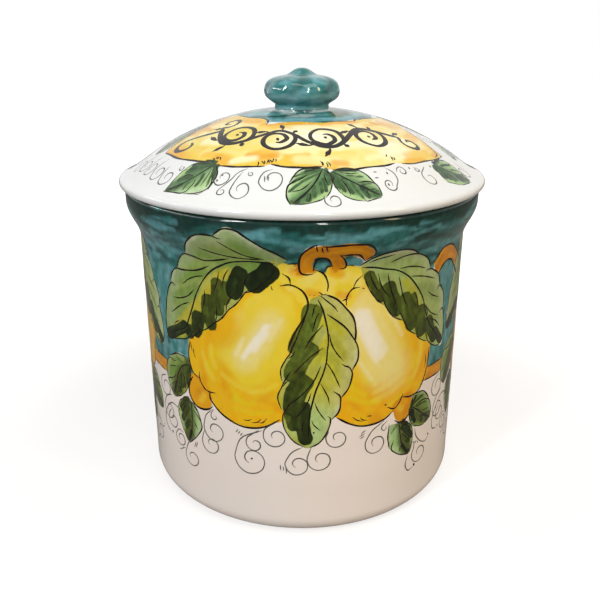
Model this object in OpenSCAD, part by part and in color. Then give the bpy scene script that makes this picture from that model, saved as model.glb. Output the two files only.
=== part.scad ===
// Biscuit jar in tin-glazed earthenware: a straight-sided jar with a flared rim, a loose
// domed lid that drops into the mouth on a locating ring, and a hand-pressed, lobed knob
// that is luted to the crown of the dome.
// Millimetres. The jar stands on z = 0 and every thrown form is turned about the Z axis.

/* [Jar wall] */
// Outer radius of the straight wall
body_r = 91; // [75:0.5:110]
// Height from the table to the top of the rim
body_h = 172.5; // [140:0.5:230]
// Thickness of the wall
wall = 6; // [5:0.25:8]

/* [Foot] */
// Thickness of the floor above the hollow under the foot
floor_t = 6; // [5:0.25:9]
// Radius of the rounded heel, where the wall turns under
heel_r = 10; // [8:0.5:16]
// Radius of the inner corner between floor and wall
corner_r = 8; // [4:0.5:16]
// Width of the bare clay ring that touches the table
foot_w = 6; // [4:0.5:10]
// Depth of the hollow turned inside that ring
foot_hollow = 2; // [1:0.25:3]

/* [Rim] */
// How far the rim stands out past the wall
rim_flare = 6.3; // [4:0.1:9]
// Height of the ogee that carries the wall out to the rim
ogee_h = 19; // [14:0.5:26]
// Height of the upright band above the ogee
band_h = 7; // [5:0.5:12]
// Rounding of the rim's outer edge
rim_round = 2.4; // [1:0.1:2.8]
// Rounding of the rim's inner edge
mouth_round = 1.4; // [0.6:0.1:1.8]

/* [Lid] */
// How far the lid's lip overhangs the rim
lip_over = 2.7; // [1:0.1:6]
// Radius of the lip's round edge
lip_round = 2.6; // [2:0.1:3.4]
// Thickness of the dome
lid_wall = 5.5; // [4.5:0.25:7]
// Rise of the dome's crown above the rim
dome_rise = 39.2; // [34:0.2:48]
// Radius of the dome's curve
dome_r = 152; // [140:1:180]
// Width of the hollow-curved brim between the dome and the lip
brim_w = 19; // [14:0.5:24]
// Slope of the brim where it meets the lip, in degrees
brim_slope = 20; // [14:1:28]

/* [Locating ring] */
// Depth of the ring below the lip
ring_depth = 11; // [8:0.5:16]
// Thickness of the ring
ring_t = 5; // [4:0.25:6]
// Gap between the ring and the narrowest part of the mouth beside it
ring_gap = 2; // [1:0.1:4]
// Radius that eases the inside of the dome into the ring
cove_r = 6; // [3:0.5:9]

/* [Knob] */
// Radius of the knob's neck, where it is luted to the crown
neck_r = 14.8; // [12:0.2:17]
// Height of the straight part of the neck
neck_h = 1.8; // [1:0.1:3]
// Radius of the knob at its belly
knob_r = 20.6; // [18.5:0.1:26]
// Height of the belly above the knob's seat
belly_h = 8.6; // [7:0.1:10]
// Radius of the shoulder, where the drawn-up tip begins
shoulder_r = 8.6; // [7:0.1:10]
// Height of that shoulder above the knob's seat
shoulder_h = 17.1; // [15:0.1:18]
// Height of the knob from its seat to the end of its tip
knob_h = 20.6; // [19:0.1:25]
// Number of soft lobes round the knob
lobes = 6; // [5:1:8]
// Depth of the grooves pressed between the lobes
groove = 1; // [0.4:0.1:1.6]
// How far the grooves wind round the knob from neck to tip, in degrees
knob_twist = 40; // [0:1:60]

/* [Hidden] */

// Colours of the glazes
GLAZE_WHITE = "ghostwhite";
GLAZE_TEAL = "teal";

// Segments of a full turn, and of each kind of curve in a profile
TURN_FN = 96;
ARC_STEPS = 8;
OGEE_STEPS = 16;
CUBIC_STEPS = 10;
DOME_STEPS = 24;
// Points round each row of the knob's skin
KNOB_SIDES = 54;

// Radii of the rim, the mouth and the bore, which follow the wall
rim_r = body_r + rim_flare;
mouth_r = rim_r - wall;
bore_r = body_r - wall;
// The bare ring of the foot, from its inner edge to the start of the heel
foot_r = body_r - heel_r;
foot_in_r = foot_r - foot_w;
// Levels of the jar, from the table up
floor_z = foot_hollow + floor_t;
ogee_z = body_h - band_h - ogee_h;
// The lid's outer edge, and the place where the dome hands over to the brim
lip_r = rim_r + lip_over;
brim_r = lip_r - brim_w;
// Centre and inner radius of the dome's curve, on the axis, from the lid's seat on the rim
dome_cz = dome_rise - dome_r;
dome_in_r = dome_r - lid_wall;
// Level of the flat on the crown that carries the knob
crown_z = dome_cz + sqrt(pow(dome_r, 2) - pow(neck_r, 2));
// The mouth narrows below the rim, so the ring is sized where its lower end hangs
ring_r = ogee_r(body_h - ring_depth) - wall - ring_gap;
ring_in_r = ring_r - ring_t;

// ---- curves ----

// Points on a circular arc, from angle a0 to a1
function arc(cx, cz, r, a0, a1, steps = ARC_STEPS) =
    [for (i = [0:steps]) let (a = a0 + (a1 - a0) * i / steps) [cx + r * cos(a), cz + r * sin(a)]];

// A cubic curve from p0 to p3 that leaves towards p1 and arrives from p2
function cubic(p0, p1, p2, p3) =
    [for (i = [0:CUBIC_STEPS]) let (t = i / CUBIC_STEPS, s = 1 - t)
        s * s * s * p0 + 3 * s * s * t * p1 + 3 * s * t * t * p2 + t * t * t * p3];

// A curve without its first point, to follow one that ends there
function after_first(points) = [for (i = [1:len(points) - 1]) points[i]];

// A curve turned end for end
function flip(points) = [for (i = [len(points) - 1:-1:0]) points[i]];

// ---- jar ----

// Outer radius of the jar at height z, as the ogee opens from the wall to the rim
function ogee_r(z) =
    let (t = min(1, max(0, (z - ogee_z) / ogee_h)))
    body_r + rim_flare * (1 - cos(180 * t)) / 2;

// The ogee from the wall up to the band, moved towards the axis by inset
function ogee(inset) =
    [for (i = [0:OGEE_STEPS]) let (z = ogee_z + ogee_h * i / OGEE_STEPS) [ogee_r(z) - inset, z]];

// Half section of the jar: under the foot, up the outside, over the rim, down the inside
function jar_profile() = concat(
    [[0, foot_hollow], [foot_in_r - foot_hollow, foot_hollow], [foot_in_r, 0]],
    arc(foot_r, heel_r, heel_r, -90, 0),
    ogee(0),
    arc(rim_r - rim_round, body_h - rim_round, rim_round, 0, 90),
    arc(mouth_r + mouth_round, body_h - mouth_round, mouth_round, 90, 180),
    flip(ogee(wall)),
    arc(bore_r - corner_r, floor_z + corner_r, corner_r, 0, -90),
    [[0, floor_z]]
);

module jar_body() {
    color(GLAZE_WHITE)
        rotate_extrude($fn = TURN_FN)
            polygon(jar_profile());
}

// ---- lid ----

// Height of a curve of radius r about the dome's centre, at distance x from the axis
function dome_z(r, x) = dome_cz + sqrt(pow(r, 2) - pow(x, 2));

// Direction from the dome's centre to that point
function dome_a(r, x) = acos(x / r);

// The brim leaves the dome along the dome's own slope and meets the lip at brim_slope
function brim() =
    let (
        start = [brim_r, dome_z(dome_r, brim_r)],
        fall = 90 - dome_a(dome_r, brim_r),
        lip_a = 90 - brim_slope,
        end = [lip_r - lip_round + lip_round * cos(lip_a), lip_round + lip_round * sin(lip_a)],
        pull = brim_w * 0.36
    )
    cubic(start, start + pull * [cos(fall), -sin(fall)],
          end - pull * [cos(brim_slope), -sin(brim_slope)], end);

// The cove rises from the inside of the ring and runs out along the inside of the dome
function cove() =
    let (
        end = [ring_in_r - cove_r, dome_z(dome_in_r, ring_in_r - cove_r)],
        rise = dome_a(dome_in_r, ring_in_r - cove_r) - 90,
        pull = cove_r * 0.55
    )
    cubic([ring_in_r, end[1] - cove_r], [ring_in_r, end[1] - cove_r + pull],
          end + pull * [cos(rise), sin(rise)], end);

// Half section of the lid, with its seat on the rim at z = 0
function lid_profile() = concat(
    [[0, crown_z]],
    arc(0, dome_cz, dome_r, dome_a(dome_r, neck_r), dome_a(dome_r, brim_r), DOME_STEPS),
    after_first(brim()),
    after_first(arc(lip_r - lip_round, lip_round, lip_round, 90 - brim_slope, -90)),
    [[ring_r, 0]],
    arc(ring_r - ring_t / 2, ring_t / 2 - ring_depth, ring_t / 2, 0, -180),
    cove(),
    after_first(arc(0, dome_cz, dome_in_r, dome_a(dome_in_r, ring_in_r - cove_r), 90, DOME_STEPS))
);

module lid() {
    color(GLAZE_WHITE)
        translate([0, 0, body_h])
            rotate_extrude($fn = TURN_FN)
                polygon(lid_profile());
}

// ---- knob ----

// Half outline of the knob before it is pressed into lobes: a straight neck, an underside
// that swells to the belly, a crown that turns in to the shoulder, and a drawn-up tip
function knob_outline() = concat(
    [[neck_r, 0]],
    cubic([neck_r, neck_h], [neck_r + (knob_r - neck_r) * 0.55, neck_h + (belly_h - neck_h) * 0.35],
          [knob_r, neck_h + (belly_h - neck_h) * 0.5], [knob_r, belly_h]),
    after_first(cubic([knob_r, belly_h], [knob_r, belly_h + (shoulder_h - belly_h) * 0.72],
          [shoulder_r + (knob_r - shoulder_r) * 0.6, shoulder_h - 1], [shoulder_r, shoulder_h])),
    after_first(cubic([shoulder_r, shoulder_h], [shoulder_r * 0.68, shoulder_h + 0.7],
          [shoulder_r * 0.5, knob_h], [0, knob_h]))
);

// Share of the groove's depth at height h: none at the neck and the tip, all at the middle
function groove_share(h) = pow(sin(180 * h / knob_h), 0.8);

// One point of the skin: at angle a, on row p of the outline
function knob_point(p, a) =
    let (
        cut = pow((1 + cos(lobes * a)) / 2, 2),
        r = p[0] - groove * groove_share(p[1]) * cut,
        turn = a + knob_twist * p[1] / knob_h
    )
    [r * cos(turn), r * sin(turn), p[1]];

module lid_knob() {
    outline = knob_outline();
    rows = len(outline) - 1;
    tip = rows * KNOB_SIDES;
    points = concat(
        [for (i = [0:rows - 1], j = [0:KNOB_SIDES - 1]) knob_point(outline[i], 360 * j / KNOB_SIDES)],
        [[0, 0, knob_h]]
    );
    sides = [for (i = [0:rows - 2], j = [0:KNOB_SIDES - 1])
        let (a = i * KNOB_SIDES + j, b = i * KNOB_SIDES + (j + 1) % KNOB_SIDES)
        [a, a + KNOB_SIDES, b + KNOB_SIDES, b]];
    cap = [for (j = [0:KNOB_SIDES - 1])
        [tip - KNOB_SIDES + j, tip, tip - KNOB_SIDES + (j + 1) % KNOB_SIDES]];
    seat = [[for (j = [0:KNOB_SIDES - 1]) j]];

    color(GLAZE_TEAL)
        translate([0, 0, body_h + crown_z])
            polyhedron(points, concat(seat, sides, cap), convexity = 4);
}

jar_body();
lid();
lid_knob();
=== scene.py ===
"""Looks of a hand-painted biscuit jar: glazed skins, brushwork and a plain stage.

The jar, the lid and the knob get dense skins on the frame's own sizes. Everything painted is laid
out flat in millimetres: on the wall, u runs round the jar from its front and v up from the table;
on the lid, u and v are the plan from above. Washes become colours and signed distances on the
skin's vertices, and brush lines become thin closed ribbons that lie on the glaze.
"""

import math
from types import SimpleNamespace

import bpy
import numpy as np
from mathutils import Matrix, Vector


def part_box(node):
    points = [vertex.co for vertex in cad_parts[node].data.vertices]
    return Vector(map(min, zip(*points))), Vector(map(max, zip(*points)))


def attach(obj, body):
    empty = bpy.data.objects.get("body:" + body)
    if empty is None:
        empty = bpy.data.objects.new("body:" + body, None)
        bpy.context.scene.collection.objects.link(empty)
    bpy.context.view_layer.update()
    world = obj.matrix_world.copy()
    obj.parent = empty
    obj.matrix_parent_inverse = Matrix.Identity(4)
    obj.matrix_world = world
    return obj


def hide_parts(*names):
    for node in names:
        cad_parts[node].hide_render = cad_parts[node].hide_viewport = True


bl_info = {
    "name": "Painted Biscuit Jar",
    "version": (1, 0, 0),
    "blender": (4, 5, 0),
    "location": "View3D > Sidebar > Biscuit Jar",
    "description": "Glazed skins, painted lemons and a plain stage for a lidded biscuit jar",
    "category": "Object",
}

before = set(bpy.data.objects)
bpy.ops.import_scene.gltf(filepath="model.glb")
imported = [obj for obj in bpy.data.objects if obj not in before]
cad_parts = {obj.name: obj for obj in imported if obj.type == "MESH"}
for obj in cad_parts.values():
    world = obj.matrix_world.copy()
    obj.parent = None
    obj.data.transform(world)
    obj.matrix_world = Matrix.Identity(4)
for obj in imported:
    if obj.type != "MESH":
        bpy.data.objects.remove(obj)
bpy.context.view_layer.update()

MM = 0.001
_, JAR_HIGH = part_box("jar_body")
LID_LOW, LID_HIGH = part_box("lid")
KNOB_LOW, KNOB_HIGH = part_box("lid_knob")
RIM_R = JAR_HIGH.x / MM
RIM_Z = JAR_HIGH.z / MM
LIP_R = LID_HIGH.x / MM
RING_Z = LID_LOW.z / MM
SEAT_Z = KNOB_LOW.z / MM
TIP_Z = KNOB_HIGH.z / MM


# ---------------------------------------------------------------- sizes and colours


def length(name, millimetres, description):
    """A length that a user may change, written here in millimetres."""
    return bpy.props.FloatProperty(
        name=name, default=millimetres * MM, min=0, precision=5, unit="LENGTH", description=description
    )


def colour(name, red, green, blue, description):
    """A colour written as it shows on screen, from 0 to 255 a channel."""
    shown = (red / 255, green / 255, blue / 255)
    return bpy.props.FloatVectorProperty(
        name=name, default=shown, size=3, min=0, max=1, subtype="COLOR_GAMMA", description=description
    )


class JarSizes(bpy.types.PropertyGroup):
    """Thrown and pressed forms that the frame's boxes don't give."""

    wall: length("Wall", 6, "Thickness of the wall")
    flare: length("Flare", 6.3, "How far the rim stands out past the wall")
    ogee: length("Ogee", 19, "Height of the curve that carries the wall out to the rim")
    band: length("Band", 7, "Height of the upright band above the ogee")
    rim_round: length("Rim rounding", 2.4, "Rounding of the rim's outer edge")
    mouth_round: length("Mouth rounding", 1.4, "Rounding of the rim's inner edge")
    heel: length("Heel", 10, "Radius of the rounded heel")
    corner: length("Corner", 8, "Radius of the inner corner above the floor")
    floor: length("Floor", 8, "Height of the inner floor above the table")
    foot: length("Foot ring", 6, "Width of the bare ring under the jar")
    hollow: length("Foot hollow", 2, "Depth of the hollow inside the foot ring")
    lip_round: length("Lip rounding", 2.6, "Radius of the lid's round lip")
    dome_radius: length("Dome radius", 152, "Radius of the dome's curve")
    dome_rise: length("Dome rise", 39.2, "Rise of the dome's crown above the rim")
    dome_wall: length("Dome wall", 5.5, "Thickness of the dome")
    brim: length("Brim", 19, "Width of the hollow-curved brim")
    cove: length("Cove", 6, "Radius that eases the inside of the dome into the locating ring")
    neck: length("Neck", 14.8, "Radius of the knob's neck")
    neck_height: length("Neck height", 1.8, "Height of the straight part of the knob's neck")
    belly: length("Belly", 8.6, "Height of the knob's belly above its seat")
    shoulder: length("Shoulder", 8.6, "Radius of the knob's shoulder, where its drawn-up tip begins")
    shoulder_height: length("Shoulder height", 17.1, "Height of that shoulder above the knob's seat")
    groove: length("Groove", 1, "Depth of the grooves pressed between the knob's lobes")
    ring_gap: length("Ring gap", 2, "Gap between the locating ring and the mouth")
    ring_wall: length("Ring wall", 5, "Thickness of the locating ring")
    unevenness: length("Unevenness", 0.25, "How far the hand-thrown wall strays from true")


class GlazeColours(bpy.types.PropertyGroup):
    """Colours of the glazes and paints."""

    white: colour("Tin white", 218, 221, 221, "The white glaze over everything")
    cream: colour("Cream", 232, 216, 206, "The white glaze where it lies thicker and warmer")
    clay: colour("Bare clay", 196, 150, 112, "The unglazed foot ring")
    teal: colour("Teal", 46, 117, 114, "The wash on the collar and the upper wall")
    # Deep teal is also laid as painted shade in a band under the lid's lip.
    teal_dark: colour("Deep teal", 6, 46, 40, "Heavy strokes of the same wash")
    teal_pale: colour("Pale teal", 114, 150, 152, "Thin strokes of the same wash")
    lemon: colour("Lemon", 224, 198, 60, "The lemons' body colour")
    lemon_pale: colour("Pale lemon", 222, 206, 108, "The lemons' lit side")
    lemon_light: colour("Lemon light", 231, 223, 200, "The bare streak of light on each lemon")
    lemon_bare: colour("Bare lemon", 246, 238, 195, "The panel where its yellow lies thinnest")
    lemon_sharp: colour("Sharp lemon", 218, 192, 22, "Greenish yellow strokes on the lemons")
    lemon_deep: colour("Deep lemon", 226, 164, 8, "The lemons' shaded rim")
    ochre: colour("Ochre", 196, 126, 4, "Twigs and the ring under the teal")
    ochre_dark: colour("Burnt ochre", 160, 94, 2, "The twigs' shaded side")
    leaf: colour("Leaf", 108, 138, 58, "The leaves' light half")
    leaf_pale: colour("Pale leaf", 160, 168, 96, "Thin strokes of the light half")
    leaf_olive: colour("Olive", 160, 162, 44, "Yellow-green gaps between the dark dabs")
    leaf_lime: colour("Lime", 190, 180, 44, "The hanging leaf's light half, thin over the lemon")
    leaf_gap: colour("Yellow gap", 206, 172, 44, "Yellow left between the dabs")
    leaf_dark: colour("Dark leaf", 15, 30, 5, "The dark half's heaviest dabs")
    leaf_deep: colour("Deep leaf", 86, 98, 26, "The dark half's thinner dabs")
    leaf_soft: colour("Soft leaf", 146, 166, 96, "The light half of a leaf laid on thinly")
    lid_leaf: colour("Lid leaf", 158, 190, 126, "The leaves on the brim")
    lid_green: colour("Lid green", 78, 116, 70, "The darker half of the leaves on the brim")
    pool_blue: colour("Pool blue", 104, 160, 170, "Blue in the teal round the knob")
    knob_teal: colour("Knob teal", 4, 106, 104, "The knob's glaze at full strength")
    # Painted shade: the same white glaze as the lid's, painted warmer for the warm shade and light reflected
    # onto the wall.
    warm_shaded_wall_white: colour("Wall white", 226, 217, 210, "The jar's white glaze, a little warmer than the lid's")
    ink: colour("Ink", 14, 9, 6, "Outlines and veins")
    ink_thin: colour("Thin ink", 66, 38, 12, "The same ink where the brush ran dry")
    scroll: colour("Scroll", 84, 84, 76, "The thin grey scrolls")


def own_keys(settings):
    """The names of the settings in a property group."""
    return [key for key in settings.bl_rna.properties.keys() if key not in ("rna_type", "name")]


def in_millimetres(sizes):
    """The jar's sizes as plain numbers of millimetres."""
    return SimpleNamespace(**{key: getattr(sizes, key) / MM for key in own_keys(sizes)})


class StageSettings(bpy.types.PropertyGroup):
    """Camera and lamps."""

    distance: bpy.props.FloatProperty(
        name="Distance", default=0.3873, unit="LENGTH", description="Camera to the jar's axis, level"
    )
    height: bpy.props.FloatProperty(
        name="Height", default=0.0732, unit="LENGTH", description="Camera above the jar's rim"
    )
    tilt: bpy.props.FloatProperty(
        name="Tilt", default=math.radians(20.74), subtype="ANGLE", description="How far the camera looks down"
    )
    focal: bpy.props.FloatProperty(name="Focal length", default=41.32, description="Lens, in millimetres")
    sideways: bpy.props.FloatProperty(name="Shift", default=-0.003, description="Sideways shift of the frame")
    light: bpy.props.FloatProperty(name="Light", default=1.0, min=0, description="Strength of all the lamps")
    sky: bpy.props.FloatProperty(
        name="Sky", default=0.36, min=0, description="Light from all round, where 1 is white"
    )


# ---------------------------------------------------------------- flat geometry


def linear(shown):
    """A colour as written on screen, as the linear values that shaders use."""
    shown = np.asarray(shown, float)
    return np.where(shown <= 0.04045, shown / 12.92, ((shown + 0.055) / 1.055) ** 2.4)


def toward(degrees):
    """The unit direction at an angle."""
    return np.array([math.cos(math.radians(degrees)), math.sin(math.radians(degrees))])


def blend(a, b, share):
    """Between two colours or places, by share."""
    return np.asarray(a) * (1 - share) + np.asarray(b) * share


def smooth(value):
    """Clamps to 0..1 and eases both ends."""
    value = np.clip(value, 0, 1)
    return value * value * (3 - 2 * value)


def arc(cx, cz, r, a0, a1, steps):
    """Points on an arc, with its angles in degrees."""
    a = np.radians(np.linspace(a0, a1, steps + 1))
    return np.column_stack([cx + r * np.cos(a), cz + r * np.sin(a)])


def bezier(points, steps):
    """A cubic curve with its four control points."""
    p0, p1, p2, p3 = np.asarray(points, float)
    t = np.linspace(0, 1, steps + 1)[:, None]
    s = 1 - t
    return s**3 * p0 + 3 * s * s * t * p1 + 3 * s * t * t * p2 + t**3 * p3


def spline(points, step=0.9, closed=False):
    """A smooth line through the points, as places about a step apart."""
    p = np.asarray(points, float)
    if closed:
        p = np.vstack([p[-1:], p, p[:2]])
    else:
        p = np.vstack([2 * p[0] - p[1], p, 2 * p[-1] - p[-2]])
    out = []
    for a, b, c, d in zip(p[:-3], p[1:-2], p[2:-1], p[3:]):
        n = max(1, math.ceil(np.linalg.norm(c - b) / step))
        t = np.linspace(0, 1, n, endpoint=False)[:, None]
        curve = 2 * b + (c - a) * t + (2 * a - 5 * b + 4 * c - d) * t**2 + (3 * b - a - 3 * c + d) * t**3
        out.append(0.5 * curve)
    return np.vstack(out if closed else out + [p[-2:-1]])


def normals(path):
    """Unit sideways directions along a flat path, to its left."""
    t = np.gradient(path, axis=0)
    t /= np.maximum(np.linalg.norm(t, axis=1, keepdims=True), 1e-9)
    return np.column_stack([-t[:, 1], t[:, 0]])


def path_length(path):
    """How long a path is."""
    return np.linalg.norm(np.diff(path, axis=0), axis=1).sum()


def along(path):
    """Share of a path's length at each of its points."""
    s = np.r_[0, np.cumsum(np.linalg.norm(np.diff(path, axis=0), axis=1))]
    return s / max(s[-1], 1e-9)


def cut(path, start, end, step=0.9):
    """The stretch of a path between two shares of its length."""
    s = along(path)
    n = max(3, int((end - start) * path_length(path) / step))
    t = np.linspace(start, end, n)
    return np.column_stack([np.interp(t, s, path[:, 0]), np.interp(t, s, path[:, 1])])


def path_distance(places, path):
    """Distance from each place to the nearest point of a path."""
    a, ab = path[:-1], np.diff(path, axis=0)
    ap = places[:, None] - a
    t = np.clip((ap * ab).sum(-1) / np.maximum((ab * ab).sum(-1), 1e-9), 0, 1)
    return np.sqrt(((ap - t[..., None] * ab) ** 2).sum(-1)).min(1)


def inside_distance(places, outline):
    """Distance from each place to a closed outline, positive inside it."""
    a, b = outline, np.roll(outline, -1, 0)
    far = path_distance(places, np.vstack([outline, outline[:1]]))
    x, y = places[:, :1], places[:, 1:]
    rise = np.where(np.abs(b[:, 1] - a[:, 1]) < 1e-9, 1e-9, b[:, 1] - a[:, 1])
    crossed = ((a[:, 1] > y) != (b[:, 1] > y)) & (x < (b[:, 0] - a[:, 0]) * (y - a[:, 1]) / rise + a[:, 0])
    return np.where(crossed.sum(1) % 2 == 1, far, -far)


# ---------------------------------------------------------------- what the brush leaves

FIELDS = ("ground", "fruit", "leaf", "dab", "dab_over")  # the paints, each over the one before
UNPAINTED = -40.0  # an area's value far from its paint
AREA_REACH = 4.0  # how far past a wash's edge its area is measured
OVERLAP = 1.3  # how far a wash's colour runs past its edge
TILE = 12.0  # side of the squares in which vertices are looked up
VEIN_LEAN = 34  # degrees between a leaf's rib and its veins
SIDES = 576  # vertices in a turn of the jar and the lid
COARSER = 6  # how many times fewer they are in a coarse row, away from the paint
WALL_STEP, LID_STEP = 1.1, 0.95  # millimetres between the rows of their skins
BRIM_SLOPE = 20  # degrees, where the brim meets the lip
KNOB_SIDES, KNOB_LOBES, KNOB_TWIST = 144, 6, 40  # vertices in a turn, lobes, and their winding in degrees
KNOB_SUNK = 0.3  # how far the knob's skin goes into the lid's
RIBBON_EDGE, RIBBON_RISE, RIBBON_DEPTH = 0.008, 0.05, 0.09  # a brush line's heights over and under the glaze
PAINT_LOW, PLAIN_STEP = 26, 3  # where the wall's close rows start, and the step between rows below them
MOUTH_ROWS = 8  # rows from the rim's top into the mouth that stay close
GLAZE_LOW, GLAZE_EDGE = 1.1, 0.7  # height from which the glaze hides the foot's clay, and its edge's width
WALL_SEED, LID_SEED, BRUSH_SEED = 7, 23, 5  # starts of the random draws


class Wash:
    """One area of paint and the strokes that fill it."""

    def __init__(self, painting, field, outline):
        self.painting, self.field, self.outline = painting, field, outline
        self.strokes = []

    def stroke(self, path, width, tone, strength, softness):
        """Adds a brush stroke: how much of its tone it leaves, and how soft its edges are."""
        spots = self.painting.spot(path)
        self.strokes.append((spots, width * self.painting.scale, np.asarray(tone), strength, softness))


class Painting:
    """Everything painted on one surface, in millimetres on its flat pattern."""

    def __init__(self, seed):
        self.random = np.random.default_rng(seed)
        self.washes, self.lines, self.scrolls = [], [], []
        self.stand()

    def stand(self, shift=(0, 0), turn=0, scale=1.0):
        """Sets where the next motifs stand: scaled and turned about the origin, then shifted."""
        self.turned = scale * np.array([toward(turn), toward(turn + 90)])
        self.shift, self.scale = np.asarray(shift, float), scale

    def spot(self, points):
        """A motif's points where the motif stands."""
        return np.asarray(points, float) @ self.turned + self.shift

    def between(self, low, high, size=None):
        """A random number, or as many as size, between low and high."""
        return self.random.uniform(low, high, size)

    def vary(self, amount):
        """A random share a little over or under 1."""
        return 1 + amount * self.random.uniform(-1, 1)

    def jitter(self, points, amount):
        """The points, each moved a little, as a hand would."""
        return points + self.random.normal(0, amount, np.shape(points))

    def hand(self, points, wobble):
        """Points where the hand puts them."""
        return self.jitter(self.spot(points), wobble)

    def wash(self, field, outline, wobble=0.1):
        """Starts an area of paint inside an outline, or one that is kept to no outline."""
        made = Wash(self, field, None if outline is None else self.hand(outline, wobble))
        self.washes.append(made)
        return made

    def line(self, points, width, wobble=0.15):
        """Draws a line in ink."""
        self.lines.append((spline(self.hand(points, wobble)), width * self.scale))

    def line_behind(self, path, width, around):
        """A line round the wall, in the stretches where no motif covers it."""
        free = np.ones(len(path), bool)
        for wash in self.washes:
            if wash.outline is not None:
                low, high = wash.outline.min(0) - 1, wash.outline.max(0) + 1
                for turn in (-around, 0, around):
                    moved = path + (turn, 0)
                    near = np.flatnonzero(((moved > low) & (moved < high)).all(1))
                    if len(near):
                        free[near] &= inside_distance(moved[near], wash.outline) < 0.3
        for part in np.split(np.arange(len(path)), np.flatnonzero(np.diff(free.astype(int))) + 1):
            if len(part) > 3 and free[part[0]]:
                self.lines.append((path[part], width))

    def scroll(self, points, width):
        """Draws a thin grey line."""
        self.scrolls.append((spline(self.hand(points, 0.05), 0.6), width * self.scale))


class Canvas:
    """A skin's vertices as places on its flat pattern, with the areas and colours of each paint.

    painted marks the vertices that may take paint; around is the pattern's width where it closes on
    itself."""

    def __init__(self, places, painted, around=None):
        self.places, self.painted, self.around = places, painted, around
        self.areas = {f: np.full(len(places), UNPAINTED) for f in FIELDS}
        self.colours = {f: np.zeros((len(places), 3)) for f in FIELDS}
        hit = np.flatnonzero(painted)
        keys = np.floor(places[hit] / TILE).astype(int)
        self.tiles = {tuple(key): hit[(keys == key).all(1)] for key in np.unique(keys, axis=0)}

    def near(self, path, reach):
        """The vertices near a path, and their places on the path's side of the seam."""
        found, spots = [np.zeros(0, int)], [np.zeros((0, 2))]
        low, high = path.min(0) - reach, path.max(0) + reach
        for turn in (-self.around, 0, self.around) if self.around else (0,):
            first = np.floor((low + (turn, 0)) / TILE).astype(int)
            last = np.floor((high + (turn, 0)) / TILE).astype(int)
            for i in range(first[0], last[0] + 1):
                for j in range(first[1], last[1] + 1):
                    if (i, j) in self.tiles:
                        tile = self.tiles[i, j]
                        found.append(tile)
                        spots.append(self.places[tile] - (turn, 0))
        found, spots = np.concatenate(found), np.vstack(spots)
        close = ((spots > low) & (spots < high)).all(1)
        return found[close], spots[close]

    def lay(self, painting):
        """Lays a painting's washes in order, each colour kept to its own area and just past its edge."""
        for wash in painting.washes:
            area, colours = self.areas[wash.field], self.colours[wash.field]
            inside = None
            if wash.outline is not None:
                hit, places = self.near(wash.outline, AREA_REACH)
                if not len(hit):
                    continue
                far = inside_distance(places, wash.outline)
                area[hit] = np.maximum(area[hit], far)
                inside = hit[far > -OVERLAP], places[far > -OVERLAP]
            for path, width, tone, strength, softness in wash.strokes:
                if inside is None:
                    hit, places = self.near(path, width)
                else:
                    close = (inside[1] > path.min(0) - width) & (inside[1] < path.max(0) + width)
                    hit, places = inside[0][close.all(1)], inside[1][close.all(1)]
                if len(hit):
                    half, far = width / 2, path_distance(places, path)
                    cover = strength * smooth((half * (1 + softness / 2) - far) / (half * softness))
                    colours[hit] = blend(colours[hit], tone, cover[:, None])


# ---------------------------------------------------------------- motifs


def bowed(a, b, start=0.0, end=1.0, bow=0.06):
    """A slightly bowed line over part of the way from one place to another."""
    a, b = np.asarray(a, float), np.asarray(b, float)
    side = np.array([-(b - a)[1], (b - a)[0]]) * bow
    t = np.linspace(start, end, 4)[:, None]
    return a * (1 - t) + b * t + side * np.sin(np.pi * t)


def lobes(corners, rib, bulges, skewed=False):
    """The scalloped edge of a leaf, one bowed line from each corner to the next."""
    corners = np.asarray(corners, float)
    edges = []
    for i, (a, b, bulge) in enumerate(zip(corners[:-1], corners[1:], bulges)):
        chord, middle = b - a, (a + b) / 2
        out = np.array([-chord[1], chord[0]])
        if out @ (middle - rib[np.argmin(np.linalg.norm(rib - middle, axis=1))]) < 0:
            out = -out
        shape = ((0.4, 0.52), (0.76, 1), (0.9, 0.8)) if skewed and i == 0 else (
            (0.25, 0.78), (0.6, 1), (0.86, 0.55)
        )
        edges.append(spline([a, *(a + t * chord + h * bulge * out for t, h in shape), b], 0.8))
    return edges


def vein_root(rib, end):
    """The place on the rib from which a vein leaves towards end at the lean that veins have."""
    run, reach = np.gradient(rib, axis=0), end - rib
    lengths = np.linalg.norm(run, axis=1) * np.maximum(np.linalg.norm(reach, axis=1), 1e-6)
    angles = np.degrees(np.arccos(np.clip((run * reach).sum(1) / lengths, -1, 1)))
    return rib[np.argmin(np.abs(angles - VEIN_LEAN))]


def vein(rib, edge, share):
    """The root and the end of the vein that meets a leaf's edge at a share of its length."""
    end = edge[int(share * (len(edge) - 1))]
    return vein_root(rib, end), end


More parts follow.
